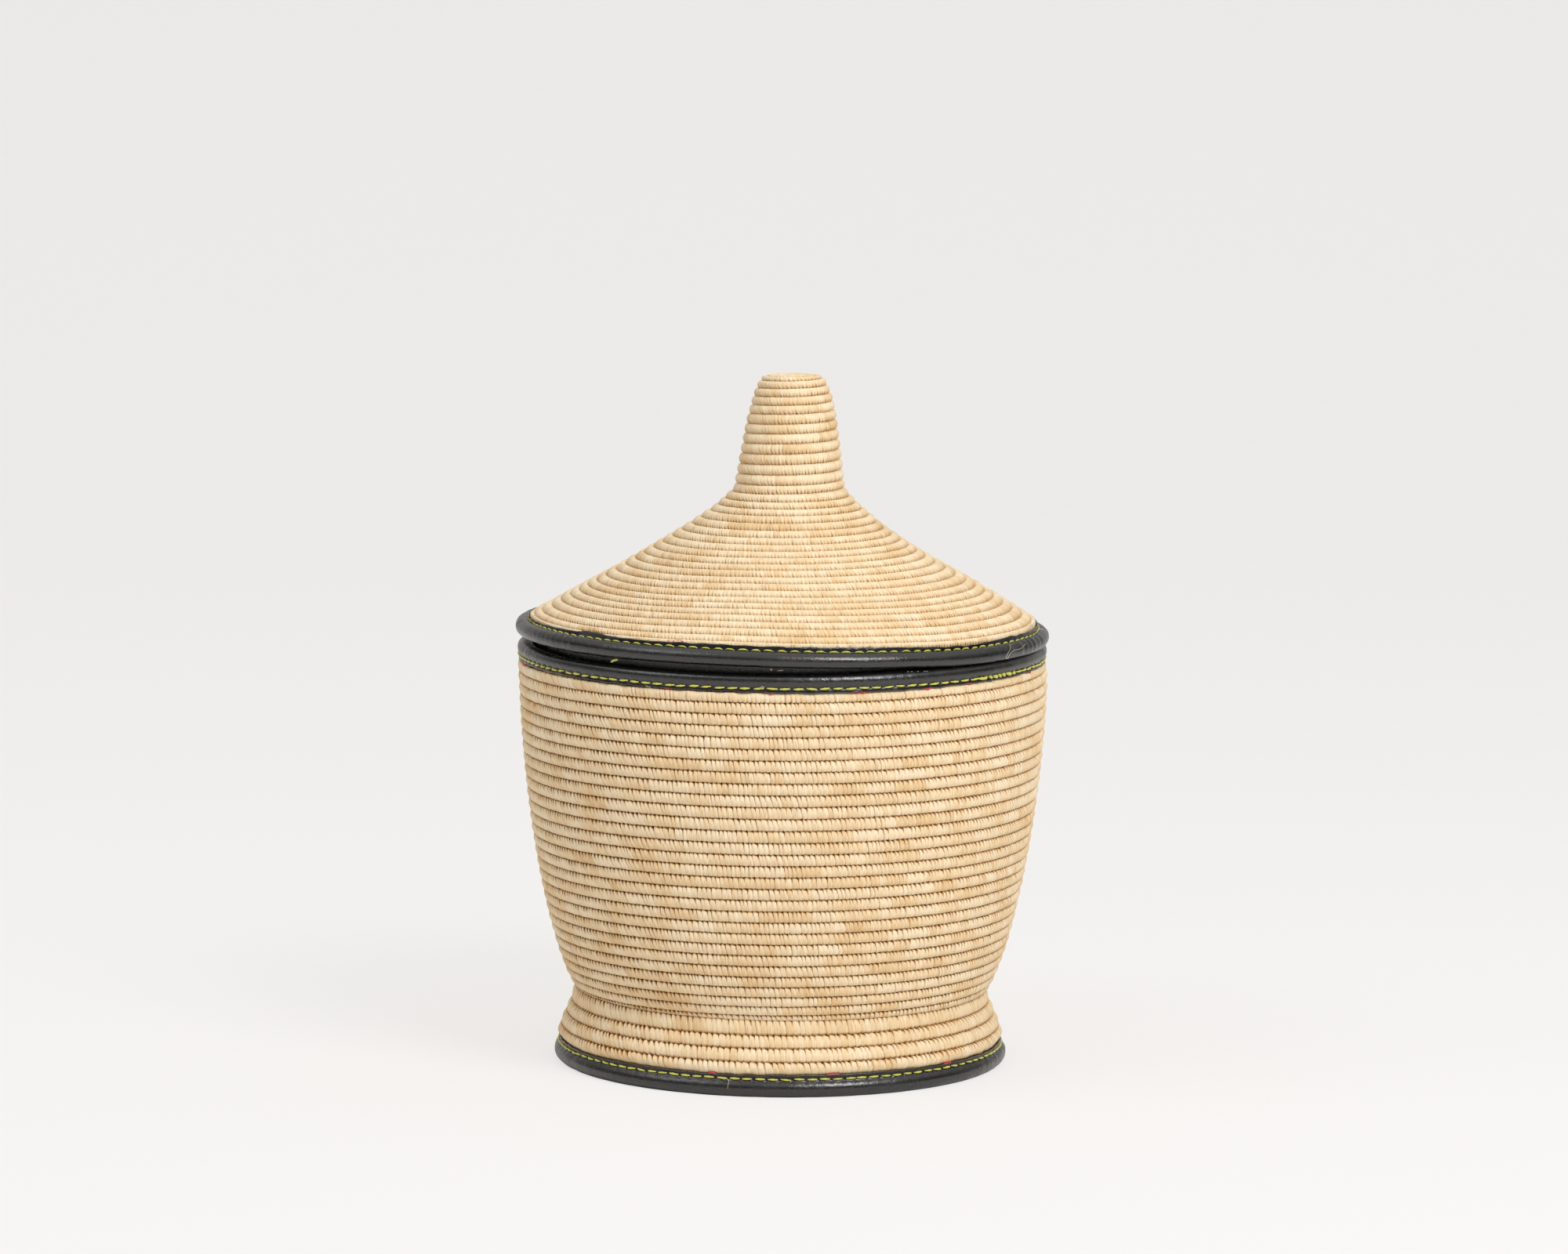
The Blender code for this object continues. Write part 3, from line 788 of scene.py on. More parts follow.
class BoundEdge:
    """The section of a bound edge, where a runs from the roll's centre along the wall and b outwards."""

    def __init__(self, name, body, settle, seed, centre, radius, slope, side, crest, tuck, rise, wall):
        self.name = name
        self.body = body
        self.settle = settle
        self.rng = np.random.default_rng(seed)
        self.centre = np.array(centre)            # of the roll, as radius and height
        self.radius = radius
        self.along = bearing(slope)
        self.out = np.array([self.along[1], -self.along[0]]) * side
        self.side = side                          # 1 where out is on the right of along, -1 on the left
        self.crest = crest                        # how far out the coils' crests lie
        self.face = crest - tuck                  # where the leather lies at its seam
        self.rise = rise                          # how much higher it lies at its cut edge
        self.inside = crest - wall - 0.3 * MM - LEATHER
        self.seam = math.sqrt(radius**2 - self.face**2) + SEAM_SETBACK
        self.leather_end = self.seam + LEATHER_MARGIN
        self.coil_end = self.leather_end + 0.9 * MM
        self.stitches = round(TURN * (self.centre[0] + self.face) / sizes().seam_stitch)

    def crest_end(self):
        """Where the line of the coils' crests ends, beside the leather."""
        return self.centre + self.along * self.coil_end + self.out * self.crest

    def in_space(self, angle, a, b):
        """Points in space for arrays of angles, places along the wall and heights."""
        radius = self.centre[0] + self.along[0] * a + self.out[0] * b
        level = self.centre[1] + self.press(self.along[1] * a + self.out[1] * b, angle)
        points = round_axis(radius, angle, level)
        points[:, 2] = np.maximum(points[:, 2], 0.02 * MM)
        return self.settle(points)

    def press(self, level, angle):
        """Flattens the rim's roll on top and the lid's roll below, where one rests on the other."""
        if self.name not in ROLL_PRESSED:
            return level
        flat = np.interp(degrees_off(angle), *np.transpose(ROLL_PRESSED[self.name])) * MM
        facing = 1 if self.name == "rim" else -1
        pressed = level / (1 + (np.abs(level) / flat)**6)**(1 / 6)
        return np.where(level * facing > 0, pressed, level)

    def sink(self, under):
        """How deep the coil lies this far under the leather from its cut edge."""
        lies = self.rise * (1 - smooth(under, 0, LEATHER_MARGIN))
        return self.crest - self.face - lies + LEATHER + 0.2 * MM

    def edge_of_leather(self, angle):
        """Where the hand-cut edge runs, round the axis. It is the same at each call."""
        rng = np.random.default_rng(7)
        wave = 0.28 * ripple(angle, rng, 3, 14) + 0.2 * ripple(angle, rng, 40, 90)
        flap = np.interp(degrees_off(angle), *np.transpose(LID_FLAP)) if self.name == "lid" else 0
        return self.leather_end + wave * MM + flap * MM

    def add_ring(self, name, a, b, way, slot, finish, node):
        """Closes one section a row into a ring of leather, cloth or straw, which replaces the node."""
        segments, rows = a.shape
        points = self.in_space(bearings(segments)[:, None], a, b)
        quads = grid_quads(segments, rows, wrap_columns=True, wrap_rows=True)[:, ::way * self.side]
        return new_piece(
            f"{self.name}_{name}", points, quads, self.body, finish, [f"{self.name}_{node}"])


def add_leather(edge, inner_end):
    """The leather strip, puckered at its seam and pleated over the roll."""
    angle = bearings(1440)
    rng = edge.rng
    cut_at = edge.edge_of_leather(angle)
    phase = (angle / TURN * edge.stitches) % 1
    dimple = np.exp(-((phase - 0.5) / 0.16)**2)       # where the thread goes down between two stitches
    first = math.pi - math.asin(edge.face / edge.radius)
    last = math.asin(-edge.inside / edge.radius) - math.pi
    turns = np.linspace(first, last, 22)
    # Pleats: folds of the leather that run over the roll and fade towards its far side
    at_sides = smooth(np.abs(np.cos(angle)), 0.45, 0.95)
    strength = np.clip(0.3 + 0.45 * ripple(angle, rng, 1, 6), 0.05, 1) * (0.35 + 1.1 * at_sides)
    bulge = 0.5 * at_sides if edge.name == "lid" else 0
    pleat = ripple(angle, rng, 60, 170) * strength
    broad = ripple(angle, rng, 15, 60)
    lift = 0.18 * MM * (1 + ripple(angle, rng, 30, 80))
    rows = []

    def add_row(a, b, raw=0.0):
        rows.append(np.stack(np.broadcast_arrays(a + 0 * angle, b, raw)))

    def add_round(turn, radius):
        add_row(-radius * math.cos(turn), radius * math.sin(turn))

    # The cut edge, the strip up to the seam, and the dent that the seam draws in
    high = edge.face + lift + edge.rise
    add_row(cut_at, high - LEATHER, 0.9)
    add_row(cut_at, high - 0.25 * LEATHER, 1.0)
    add_row(cut_at - 0.18 * MM, high, 0.4)
    for share in (0.75, 0.5, 0.3):
        up = lift * share**2 + edge.rise * smooth(share, 0.1, 0.9)
        dent = 0.16 * MM * dimple * (1 - share)
        add_row(edge.seam + (cut_at - edge.seam) * share, edge.face + up - dent, -1.0)
    for offset, depth in ((0.45, 0.28), (0.0, 0.4), (-0.45, 0.3)):
        add_row(edge.seam + offset * MM, edge.face - (0.1 + depth * dimple) * MM, -1.0)
    # Over the roll, down the inside, and back along the leather's other face
    for i, turn in enumerate(turns):
        share = i / (len(turns) - 1)
        fade = math.sin(math.pi * min(1, share * 1.6 + 0.12))**0.8 if share < 0.55 else 0.25
        swell = 0.2 * pleat * fade + 0.07 * broad + bulge
        if i < 3:
            swell = swell - (0.3, 0.16, 0.06)[i] * dimple
        add_round(turn, edge.radius + (swell - 0.12) * MM)
    add_row(inner_end, edge.inside)
    add_row(inner_end, edge.inside + LEATHER, 0.9)
    for turn in turns[::-3]:
        add_round(turn, edge.radius - LEATHER - 0.15 * MM)
    add_row(edge.seam, edge.face - LEATHER)
    a, b, raw = np.stack(rows, -1)
    piece = edge.add_ring("leather", a, b, -1, "dark_leather", leather_finish(), "binding")
    add_attribute(piece, "cut", raw)


def add_seam(edge):
    """Running stitches of twisted thread, each lying a little differently, and the mend in the rim's seam."""
    rng = edge.rng
    slim = 0.1 if edge.name == "lid" else 0
    rings, sides = 11, 10
    share = np.linspace(-1, 1, rings)[:, None]
    around = bearings(sides)
    taper = np.sqrt(1 - 0.82 * share**2)
    twist = 1 + 0.1 * np.cos(2 * (around - 3.2 * share))
    across, lift = taper * twist * np.cos(around), taper * twist * np.sin(around)
    raised = (0.32 - 0.75 * share**4) * MM
    radius = edge.centre[0] + edge.along[0] * edge.seam + edge.out[0] * edge.face
    repairs = REPAIRS if edge.name == "rim" else ()
    pace = TURN / edge.stitches
    running = [(i + 1, None) for i in range(edge.stitches)]
    if repairs:
        mend = repairs[0][0] - 1, repairs[-1][0] + 1
        running = [(i, repair) for i, repair in running if not mend[0] < degrees_off(i * pace) < mend[1]]
    points, quads, caps = [], [], []
    for number, repair in (*running, *((0, repair) for repair in repairs)):
        length = sizes().seam_stitch * (rng.uniform(0.74, 0.86) - slim)
        middle = (number + rng.normal(0, 0.03)) * pace
        tilt = rng.normal(-0.03, 0.045)
        wide = rng.uniform(0.46, 0.6) * MM * (1 - slim)
        high = 0.45 * MM
        if repair:
            degrees, part, tilt = repair
            middle = FRONT + math.radians(degrees)
            length *= part
            wide, high = 1.6 * wide, 0.75 * MM
        along = length / 2 * share + 0 * around
        a = edge.seam + wide * across + tilt * along + rng.normal(0, 0.08) * MM
        points.append(edge.in_space(middle + along / radius, a, edge.face + high * lift + raised))
        stitch, ends = tube(rings, sides, len(quads) * rings * sides, -edge.side)
        quads.append(stitch)
        caps += ends
    new_piece(
        edge.name + "_seam", np.concatenate(points), np.concatenate(quads), edge.body,
        thread_finish(), [edge.name + "_thread"], caps)


def add_tape(edge):
    """The cloth tape, which peeps out from under the leather in slivers."""
    angle = bearings(1080)
    off = degrees_off(angle)
    show = -1.7 + 0.25 * ripple(angle, edge.rng, 60, 200)
    for place, width, reach in SLIVERS[edge.name]:
        frayed = 1 + 0.18 * ripple(angle, edge.rng, 150, 400)
        show = show + (0.8 + reach) * np.exp(-((off - place) / width)**4) * frayed
    end = edge.edge_of_leather(angle) + show * MM
    a = end[:, None] - np.array([2.5, 1.2, 0, 0.1, 1.2, 2.5]) * MM
    low = edge.face - LEATHER - 0.35 * MM
    top = np.array([0.3, 0.32, 0.5, 0.85, 0.75, 0.6]) * MM
    # Where it shows, it stands up against the leather
    risen = np.clip(show + 0.4, 0, 1)[:, None] * np.array([0, 0, 0.6, 0.7, 0.2, 0]) * (MM + 1.6 * edge.rise)
    edge.add_ring("tape_cloth", a, low + top + risen, 1, "red_cloth", tape_finish(), "tape")


def add_core(edge):
    """The bundle of straw that fills the roll, in six twisted strands."""
    angle, around = bearings(360)[:, None], bearings(24)
    radius = edge.radius - LEATHER - 0.6 * MM
    radius = radius * (0.94 + 0.06 * np.abs(np.cos(3 * around + 20 * angle)))
    edge.add_ring(
        "straw", radius * np.cos(around), radius * np.sin(around), 1, "straw", straw_finish(), "core")


def covered_by(edge, end):
    """How far the coil is pressed down where it runs under the leather, by its mark and angle."""
    def pressed(mark, angle):
        reach = end + edge.coil_end - edge.edge_of_leather(angle)
        return edge.sink(mark - reach) * smooth(mark, reach - 1.6 * MM, reach + 0.1 * MM)
    return pressed


def covered_at_start(edge):
    """The same for a coil whose line starts at the leather."""
    def pressed(mark, angle):
        reach = edge.edge_of_leather(angle) - edge.coil_end
        return edge.sink(reach - mark) * (1 - smooth(mark, reach - 0.1 * MM, reach + 1.6 * MM))
    return pressed


def beside(edge, degrees, up, out):
    """Points in space from degrees off the front, and mm above the roll's centre and out from it."""
    radius = edge.centre[0] + np.asarray(out) * MM
    level = edge.centre[1] + np.asarray(up) * MM
    return edge.settle(round_axis(radius, FRONT + np.radians(degrees), level))


def add_strands(name, body, finish, strands):
    """Thin round strands, given as lists of points, each with its radius in mm."""
    steps, sides = 36, 6
    around = bearings(sides)[None, :, None]
    taper = (1 - 0.6 * np.abs(np.linspace(-1, 1, steps))**6)[:, None, None]
    points, quads, caps = [], [], []
    for line, radius in strands:
        marks = np.linspace(0, len(line) - 1, steps)
        line = np.stack([np.interp(marks, np.arange(len(line)), column) for column in np.transpose(line)], 1)
        for _ in range(10):
            line[1:-1] = (line[:-2] + 2 * line[1:-1] + line[2:]) / 4
        along = np.gradient(line, axis=0)
        along /= np.linalg.norm(along, axis=1)[:, None] + 1e-9
        across = np.cross(along, (0.31, 0.87, 0.38))
        across /= np.linalg.norm(across, axis=1)[:, None] + 1e-9
        up = np.cross(along, across)
        ring = across[:, None] * np.cos(around) + up[:, None] * np.sin(around)
        points.append((line[:, None] + radius * MM * taper * ring).reshape(-1, 3))
        strand, ends = tube(steps, sides, len(quads) * steps * sides)
        quads.append(strand)
        caps += ends
    new_piece(name, np.concatenate(points), np.concatenate(quads), body, finish, (), caps)


def rim_edge():
    size = sizes()
    return BoundEdge(
        "rim", "basket", basket_settles, seed=11,
        centre=(size.rim_radius - size.roll_radius, RIM_HEIGHT - 0.6 * MM), radius=size.roll_radius,
        slope=-90, side=-1, crest=size.roll_radius, tuck=0.9 * MM, rise=0, wall=6.6 * MM)


def lid_edge():
    size = sizes()
    return BoundEdge(
        "lid", "lid", lid_settles, seed=12,
        centre=(size.rim_radius + 0.5 * MM - size.lid_roll_radius, LID_HEIGHT + 0.2 * MM),
        radius=size.lid_roll_radius, slope=CONE_SLOPE, side=1, crest=4.5 * MM, tuck=2.2 * MM, rise=1.3 * MM,
        wall=6.2 * MM)


def foot_edge():
    size = sizes()
    return BoundEdge(
        "foot", "basket", foot_settles, seed=13,
        centre=(size.foot_radius - size.foot_roll_radius, size.foot_roll_radius - 0.5 * MM),
        radius=size.foot_roll_radius, slope=FOOT_SLOPE, side=1, crest=4.0 * MM, tuck=1.1 * MM, rise=0,
        wall=7.0 * MM)


def constant(value):
    return lambda mark: value + 0 * mark


def blended(first, last, start, end):
    """A size that goes from first to last between two marks."""
    return lambda mark: first + (last - first) * smooth(mark, start, end)


# Operators

class BASKET_OT_foot(bpy.types.Operator):
    """Stitches the foot ring that the basket stands on"""

    bl_idname = "basket.foot"
    bl_label = "Foot"

    def execute(self, context):
        size = sizes()
        edge = foot_edge()
        waist = np.array([size.waist_radius, WAIST_HEIGHT])
        line = SectionLine(curve(edge.crest_end(), FOOT_SLOPE, 8 * MM, waist, FOOT_SLOPE, 8 * MM))
        # Each turn rises a little on its way round, and steps up to the next in a short stretch at the back
        rising, step = 0.12, 0.07
        levels = [-UNDER_LEATHER, *(share * line.length for share in FOOT_GROOVES)]
        levels[-1] += SUNK
        turns, marks = [0.0], [levels[0]]
        for i, (low, high) in enumerate(zip(levels, levels[1:]), 1):
            turns += [i - step, i + step]
            marks += [low + rising * (high - low), high]
        coil = Coil(
            line, np.array(turns), np.array(marks), WALL_FACE, foot_settles, seed=21, spin=0.25, tint=0.42,
            strand=constant(size.foot_strand), thick=constant(7 * MM), boxy=constant(2.7),
            covered=covered_at_start(edge))
        coil.add_pieces("foot_coil_stitches", "basket", ["foot_coil"])
        return {"FINISHED"}


class BASKET_OT_shell(bpy.types.Operator):
    """Stitches the basket's floor and wall, which are one coil"""

    bl_idname = "basket.shell"
    bl_label = "Floor and Wall"

    def execute(self, context):
        size = sizes()
        edge = rim_edge()
        waist = np.array([size.waist_radius, FLOOR_UNDER])
        floor = np.linspace([0, FLOOR_UNDER], waist, 60)[:-1]
        wall = curve(waist, 58, 29 * MM, edge.crest_end(), 90, 61 * MM)
        line = SectionLine(floor, wall)
        floor_end, end = size.waist_radius, line.length
        pitch = end / round(end / size.wall_coil)
        even = np.linspace(0, end + UNDER_LEATHER, 400)
        drift_marks, drift = np.transpose(WALL_DRIFT) * MM
        marks = even + np.interp(even - floor_end, drift_marks, drift)
        coil = Coil(
            line, even / pitch, marks, WALL_FACE, basket_settles, seed=22, spin=-0.42, tint=0.38,
            strand=constant(size.wall_strand), boxy=constant(2.75),
            thick=blended(6 * MM, 6.6 * MM, floor_end, floor_end + 20 * MM),
            covered=covered_by(edge, end), calm=blended(1, 0.3, end - 8 * MM, end - 3 * MM))
        coil.add_pieces("basket_stitches", "basket", ["basket_coil"])
        return {"FINISHED"}


class BASKET_OT_lid(bpy.types.Operator):
    """Stitches the lid: a cone that rises into a tall, hollow knob"""

    bl_idname = "basket.lid"
    bl_label = "Lid"

    def execute(self, context):
        size = sizes()
        edge = lid_edge()
        base = np.array([size.knob_radius, LID_TOP - size.knob_height])
        corner = np.array([size.knob_top_radius, LID_TOP])
        knob_slope = 118
        shoulder = corner - bearing(knob_slope) * 4.6 * MM
        top = np.array([0, LID_TOP])
        cone = curve(edge.crest_end(), CONE_SLOPE, 40 * MM, base, 129.7, 32 * MM)
        knob = curve(base, 99.5, 24 * MM, shoulder, knob_slope, 12 * MM)
        rounding = rounded_corner(shoulder, corner, top, 5 * MM)
        line = SectionLine(cone, knob, rounding, np.linspace(rounding[-1], top, 20))
        # Even turns up the cone, 6 up each half of the knob's side and 4 over its top, and then the drift
        cone_end = SectionLine(cone).length
        cone_turns = (cone_end + UNDER_LEATHER) / size.lid_coil
        side = 60 * MM
        even = np.array([0, cone_turns, cone_turns + 6, cone_turns + 12, cone_turns + 16])
        marks = np.array([-UNDER_LEATHER, cone_end, cone_end + 0.54 * side, cone_end + side, line.length])
        drift_turns, drift = np.transpose([(-cone_turns, 0), *LID_DRIFT])
        turns = np.union1d(even, drift_turns + cone_turns)
        marks = np.interp(turns, even, marks) + np.interp(turns, drift_turns + cone_turns, drift) * MM
        coil = Coil(
            line, turns, marks, CONE_FACE, lid_settles, seed=23, spin=-0.07 - cone_turns % 1, tint=0.34,
            strand=constant(size.lid_strand), thick=blended(6 * MM, 5.6 * MM, cone_end, cone_end + side),
            boxy=blended(2.4, 2.1, cone_end - 30 * MM, cone_end), covered=covered_at_start(edge))
        coil.add_pieces("lid_stitches", "lid", ["lid_coil"])
        return {"FINISHED"}


class BASKET_OT_edges(bpy.types.Operator):
    """Binds the three edges in leather over a padded roll, and sews them with yellow thread"""

    bl_idname = "basket.edges"
    bl_label = "Bound Edges"

    def execute(self, context):
        for edge in (foot_edge(), rim_edge(), lid_edge()):
            inner_end = edge.leather_end
            if edge.name == "lid":
                reach = edge.centre[0] + edge.out[0] * edge.inside - FACING_RADIUS - 0.3 * MM
                inner_end = reach / -edge.along[0]
            add_leather(edge, inner_end)
            add_seam(edge)
            add_tape(edge)
            add_core(edge)
        return {"FINISHED"}


class BASKET_OT_loose_ends(bpy.types.Operator):
    """Adds the ends of thread, the lint and the frayed raffia that hang loose"""

    bl_idname = "basket.loose_ends"
    bl_label = "Loose Ends"

    def execute(self, context):
        rng = np.random.default_rng(41)
        rim, lid, foot = rim_edge(), lid_edge(), foot_edge()
        self.add_thread_ends(rim, lid, foot)
        self.add_frayed_raffia(lid, rng)
        self.add_fluff(lid, rng)
        return {"FINISHED"}

    def add_thread_ends(self, rim, lid, foot):
        loop = beside(
            lid, [57.5, 57.5, 56.7, 55.5, 54.6, 54.4, 54.9, 55.8, 56.5, 57, 58.3, 60.2, 61.9, 61.8, 62.8, 64],
            [4.4, 3, 1.9, 0.6, -1.2, -2.6, -2.9, -1.3, 0.4, 1.7, 1.6, 1.2, 1.1, 2.4, 2.9, 3.1],
            [3, 4.5, 5, 5.1, 5.2, 5.2, 5.4, 5.4, 5.3, 5.2, 5.1, 5.1, 5.1, 5, 4.9, 4.6])
        add_strands("lid_thread_end", "lid", loose_finish(), [
            (loop, 0.09),
            (beside(lid, [-2.4, -2.0, -2.5, -2.1], [-4.9, -4.7, -4.4, -4.2], [2.0, 2.6, 2.2, 2.6]), 0.1),
            (beside(
                lid, [-1.0, -0.5, 0.0, -0.2, 0.4], [-5.2, -4.8, -5.1, -4.6, -4.8],
                [1.6, 2.0, 1.8, 2.2, 2.0]), 0.1),
            *((beside(lid, [place, place + 0.2, place + 0.3], [-5.3, -5.1, -5.3], [3.4, 3.7, 3.4]), 0.1)
              for place in (27.2, 28.1, 29.6, 31.2, 31.8)),
        ])
        stray = beside(lid, [-39.6, -38.9, -38.1, -37.5], [-6.3, -5.5, -4.9, -4.6], [0.9, 1.4, 1.7, 1.5])
        add_strands("lid_stray_stitch", "lid", thread_finish(), [(stray, 0.65)])
        add_strands("rim_thread_ends", "basket", loose_finish(), [
            (beside(
                rim, [-4.6, -4.3, -3.8, -3.6, -3.9, -4.2], [-3.2, -2.2, -2.0, -2.8, -3.5, -3.3],
                [4.4, 4.9, 4.9, 4.7, 4.6, 4.5]), 0.13),
            (beside(rim, [-29.6, -29.2, -28.7, -28.4], [-4.4, -5.4, -5.0, -6.2], [4.4, 4.7, 4.8, 4.5]), 0.12),
            (beside(rim, [50.5, 51.2, 52, 52.4], [-4.6, -5.8, -5.4, -6.8], [4.4, 4.7, 4.8, 4.6]), 0.12),
            (beside(foot, [-12.9, -12.6, -12.7, -12.8], [4.8, 4, 2, 0], [3.2, 4.3, 5.3, 5.7]), 0.1),
            (beside(
                foot, [-14.8, -14.1, -13.4, -12.7, -12.2], [5.2, 4.4, 5, 4, 4.6],
                [3.2, 4, 3.6, 4.2, 3.9]), 0.1),
        ])

    def add_frayed_raffia(self, lid, rng):
        """Raffia that frays where the cone meets the leather."""
        tufts = []
        for *middle, count in TUFTS:
            for _ in range(count):
                start = np.array(middle) + rng.normal(0, (1.2, 0.5, 0.5))
                end = start + rng.normal((0, 1.4, 1.6), (1.5, 1.0, 0.8))
                bend = (start + end) / 2 + rng.normal(0, (0.5, 0.4, 0.4))
                tufts.append((beside(lid, *np.transpose([start, bend, end])), rng.uniform(0.1, 0.17)))
        add_strands("lid_frayed_raffia", "lid", loose_finish(), tufts)

    def add_fluff(self, lid, rng):
        """Fibres that stand up from the cut edge of the lid's leather."""
        fluff = []
        for _ in range(FLUFF):
            angle = math.radians(rng.uniform(*FLUFF_PLACE)) + FRONT
            a = float(lid.edge_of_leather(angle)) - abs(rng.normal(0.3, 0.35)) * MM
            places = [(angle, a, lid.face + lid.rise + 0.1 * MM)]
            for _ in range(3):
                angle, a, b = places[-1]
                places.append((
                    angle + math.radians(rng.normal(0, 0.25)), a + rng.normal(0.05, 0.3) * MM,
                    b + abs(rng.normal(0.1, 0.12)) * MM))
            fluff.append((lid.in_space(*np.transpose(places)), rng.uniform(0.1, 0.2)))
        add_strands("lid_leather_fluff", "lid", fluff_finish(), fluff)


class BASKET_OT_collar(bpy.types.Operator):
    """Makes the coiled ring under the lid and the leather round it"""

    bl_idname = "basket.collar"
    bl_label = "Collar"

    def execute(self, context):
        low, high = COLLAR_LOW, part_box("lid_collar")[1].z
        line = SectionLine(np.linspace([COLLAR_RADIUS, low], [COLLAR_RADIUS, high], 20))
        turns = 3
        coil = Coil(
            line, np.array([0, turns]), np.array([0, high - low]), WALL_FACE, lid_settles, seed=24, spin=0,
            tint=0.5, strand=constant(2.6 * MM), thick=constant(5.2 * MM), boxy=constant(2.4))
        coil.add_pieces("collar_stitches", "lid", ["lid_collar"])
        self.add_facing()
        return {"FINISHED"}

    def add_facing(self):
        low, high = (corner.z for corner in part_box("collar_facing"))
        angle = bearings(720)
        rng = np.random.default_rng(31)
        levels = np.linspace(low, high - 0.5 * MM, 9)
        # Up its rippled outside, and down the other face
        swells = [
            0.12 * MM * ripple(angle, rng, 30, 120) * math.sin(math.pi * (level - low) / (high - low))
            for level in levels]
        inner = levels[::-4]
        radius = FACING_RADIUS + np.stack([*swells, *(-LEATHER + 0 * angle for _ in inner)], 1)
        level = np.array([*levels, *inner]) + 0 * radius
        points = lid_settles(round_axis(radius, angle[:, None], level))
        quads = grid_quads(*radius.shape, wrap_columns=True, wrap_rows=True)
        piece = new_piece(
            "collar_leather", points, quads, "lid", leather_finish(), ["collar_facing"])
        add_attribute(piece, "cut", np.full(len(points), 0.12))


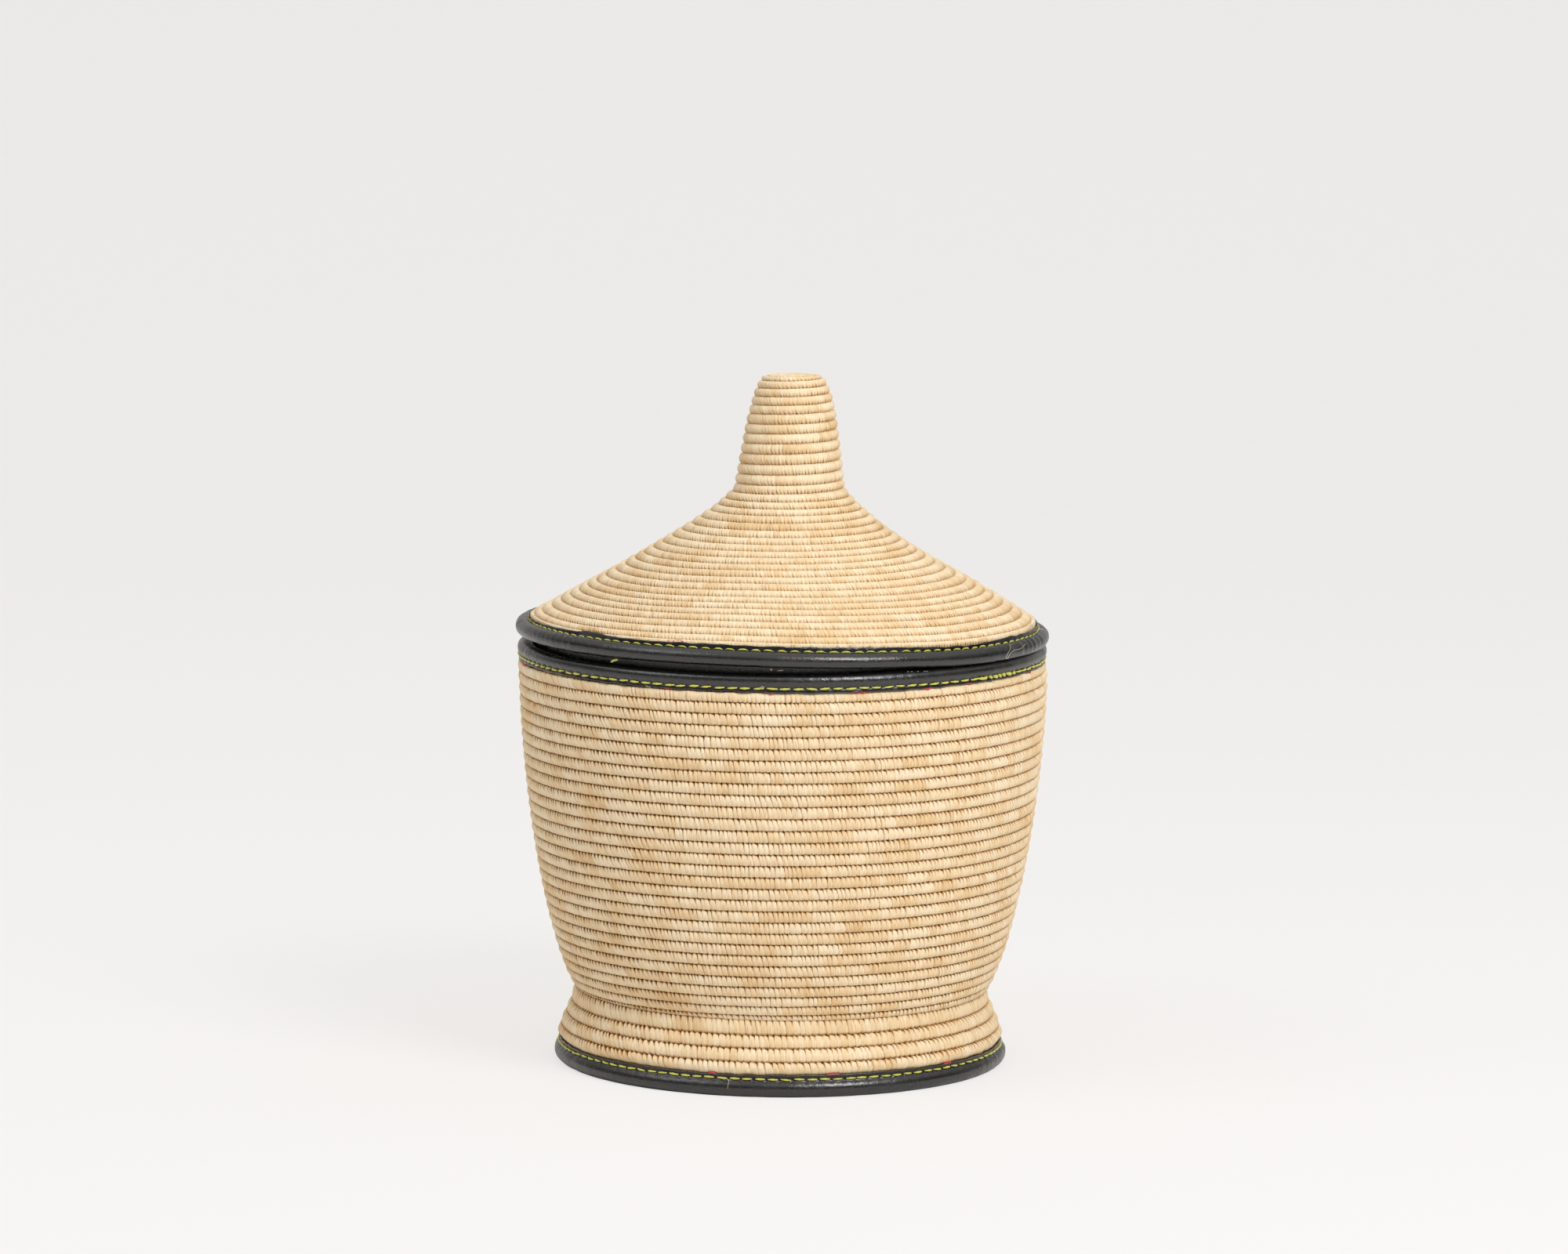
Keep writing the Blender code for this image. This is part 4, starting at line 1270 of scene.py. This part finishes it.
class BASKET_OT_stage(bpy.types.Operator):
    """Sets the pale floor, the soft lamps and the camera"""

    bl_idname = "basket.stage"
    bl_label = "Stage"

    def execute(self, context):
        scene = context.scene
        scene.view_settings.view_transform = "Standard"
        self.add_backdrop(scene)
        self.add_lamps(scene)
        self.add_camera(scene)
        return {"FINISHED"}

    def add_backdrop(self, scene):
        """A floor that sweeps up into the wall behind."""
        bend, front, back, side, tall = 1.2, -7.0, 3.0, 8.0, 6.0
        sweep = [
            (back + bend * math.sin(turn), bend - bend * math.cos(turn))
            for turn in np.linspace(0, TURN / 4, 24)]
        line = [(front, 0.0), *sweep, (back + bend, tall)]
        points = [(x, y, z) for y, z in line for x in (-side, side)]
        quads = grid_quads(len(line), 2)[:, ::-1]
        mesh = bpy.data.meshes.new("backdrop")
        mesh.from_pydata(points, [], quads.tolist())
        mesh.shade_smooth()
        mesh.materials.append(self.backdrop_finish(scene))
        backdrop = bpy.data.objects.new("backdrop", mesh)
        scene.collection.objects.link(backdrop)

    def backdrop_finish(self, scene):
        """Pale paper, which the camera sees as half lit from behind, so that shadows on it stay faint."""
        finish = bpy.data.materials.new("backdrop_paper")
        tree = Nodes(finish)
        paper = tree.nodes["Principled BSDF"]
        tree.feed(paper, {"Base Color": colours().floor, "Roughness": 0.95, "Specular IOR Level": 0.1})
        glow = tree.add("Emission", {"Color": colours().floor, "Strength": 1.0})
        seen = tree.add("LightPath").outputs["Is Camera Ray"]
        share = tree.worked("MULTIPLY", seen, scene.basket_stage.glow)
        mix = tree.add("MixShader", {0: share, 1: paper.outputs[0], 2: glow.outputs[0]})
        tree.feed(tree.nodes["Material Output"], {"Surface": mix.outputs[0]})
        return finish

    def add_lamps(self, scene):
        stage = scene.basket_stage
        scene.world = bpy.data.worlds.new("studio")
        tree = Nodes(scene.world)
        direction = tree.add("SeparateXYZ", {0: tree.add("TexCoord").outputs["Generated"]})
        strength = tree.spread(direction.outputs["Z"], 0.2, 0.8, stage.horizon, stage.sky)
        tree.feed(tree.nodes["Background"], {"Color": (1, 1, 1), "Strength": strength})
        target = Vector((0, 0, 0.18))
        for name, place, across, power in (
            ("key", (1.1, -1.55, 1.7), 1.1, stage.key_power),
            ("fill", (-1.7, -0.8, 2.0), 1.4, stage.fill_power),
        ):
            light = bpy.data.lights.new(name, "AREA")
            light.shape = "DISK"
            light.size = across
            light.energy = power
            lamp = bpy.data.objects.new(name, light)
            lamp.location = place
            lamp.rotation_euler = (target - Vector(place)).to_track_quat("-Z", "Y").to_euler()
            scene.collection.objects.link(lamp)

    def add_camera(self, scene):
        stage = scene.basket_stage
        lens = bpy.data.cameras.new("camera")
        lens.lens = stage.camera_lens
        lens.sensor_width = 36
        lens.clip_end = 50
        camera = bpy.data.objects.new("camera", lens)
        right, middle = 1.4 * MM, 227.5 * MM
        place = Vector((right, -stage.camera_distance, stage.camera_height))
        aim = (Vector((right, 0, middle)) - place).to_track_quat("-Z", "Y").to_matrix().to_4x4()
        roll = Matrix.Rotation(stage.camera_roll, 4, "Z")
        camera.matrix_world = Matrix.Translation(place) @ (aim @ roll)
        scene.collection.objects.link(camera)
        scene.camera = camera


class BASKET_PT_panel(bpy.types.Panel):
    """Lists the steps that make the basket"""

    bl_label = "Lidded Basket"
    bl_idname = "BASKET_PT_panel"
    bl_space_type = "VIEW_3D"
    bl_region_type = "UI"
    bl_category = "Basket"

    def draw(self, context):
        scene = context.scene
        for group in (scene.basket_sizes, scene.basket_colours, scene.basket_stage):
            for name in group.__annotations__:
                self.layout.prop(group, name)
        for step in STEPS:
            self.layout.operator(step.bl_idname)


STEPS = (
    BASKET_OT_stage, BASKET_OT_foot, BASKET_OT_shell, BASKET_OT_lid, BASKET_OT_edges, BASKET_OT_loose_ends,
    BASKET_OT_collar)
CLASSES = (BasketSizes, BasketColours, StageSettings, *STEPS, BASKET_PT_panel)


def register():
    for cls in CLASSES:
        bpy.utils.register_class(cls)
    bpy.types.Scene.basket_sizes = PointerProperty(type=BasketSizes)
    bpy.types.Scene.basket_colours = PointerProperty(type=BasketColours)
    bpy.types.Scene.basket_stage = PointerProperty(type=StageSettings)


def unregister():
    for name in ("basket_stage", "basket_colours", "basket_sizes"):
        delattr(bpy.types.Scene, name)
    for cls in reversed(CLASSES):
        bpy.utils.unregister_class(cls)


def main():
    register()
    for step in STEPS:
        area, name = step.bl_idname.split(".")
        getattr(getattr(bpy.ops, area), name)()


if __name__ == "__main__":
    main()
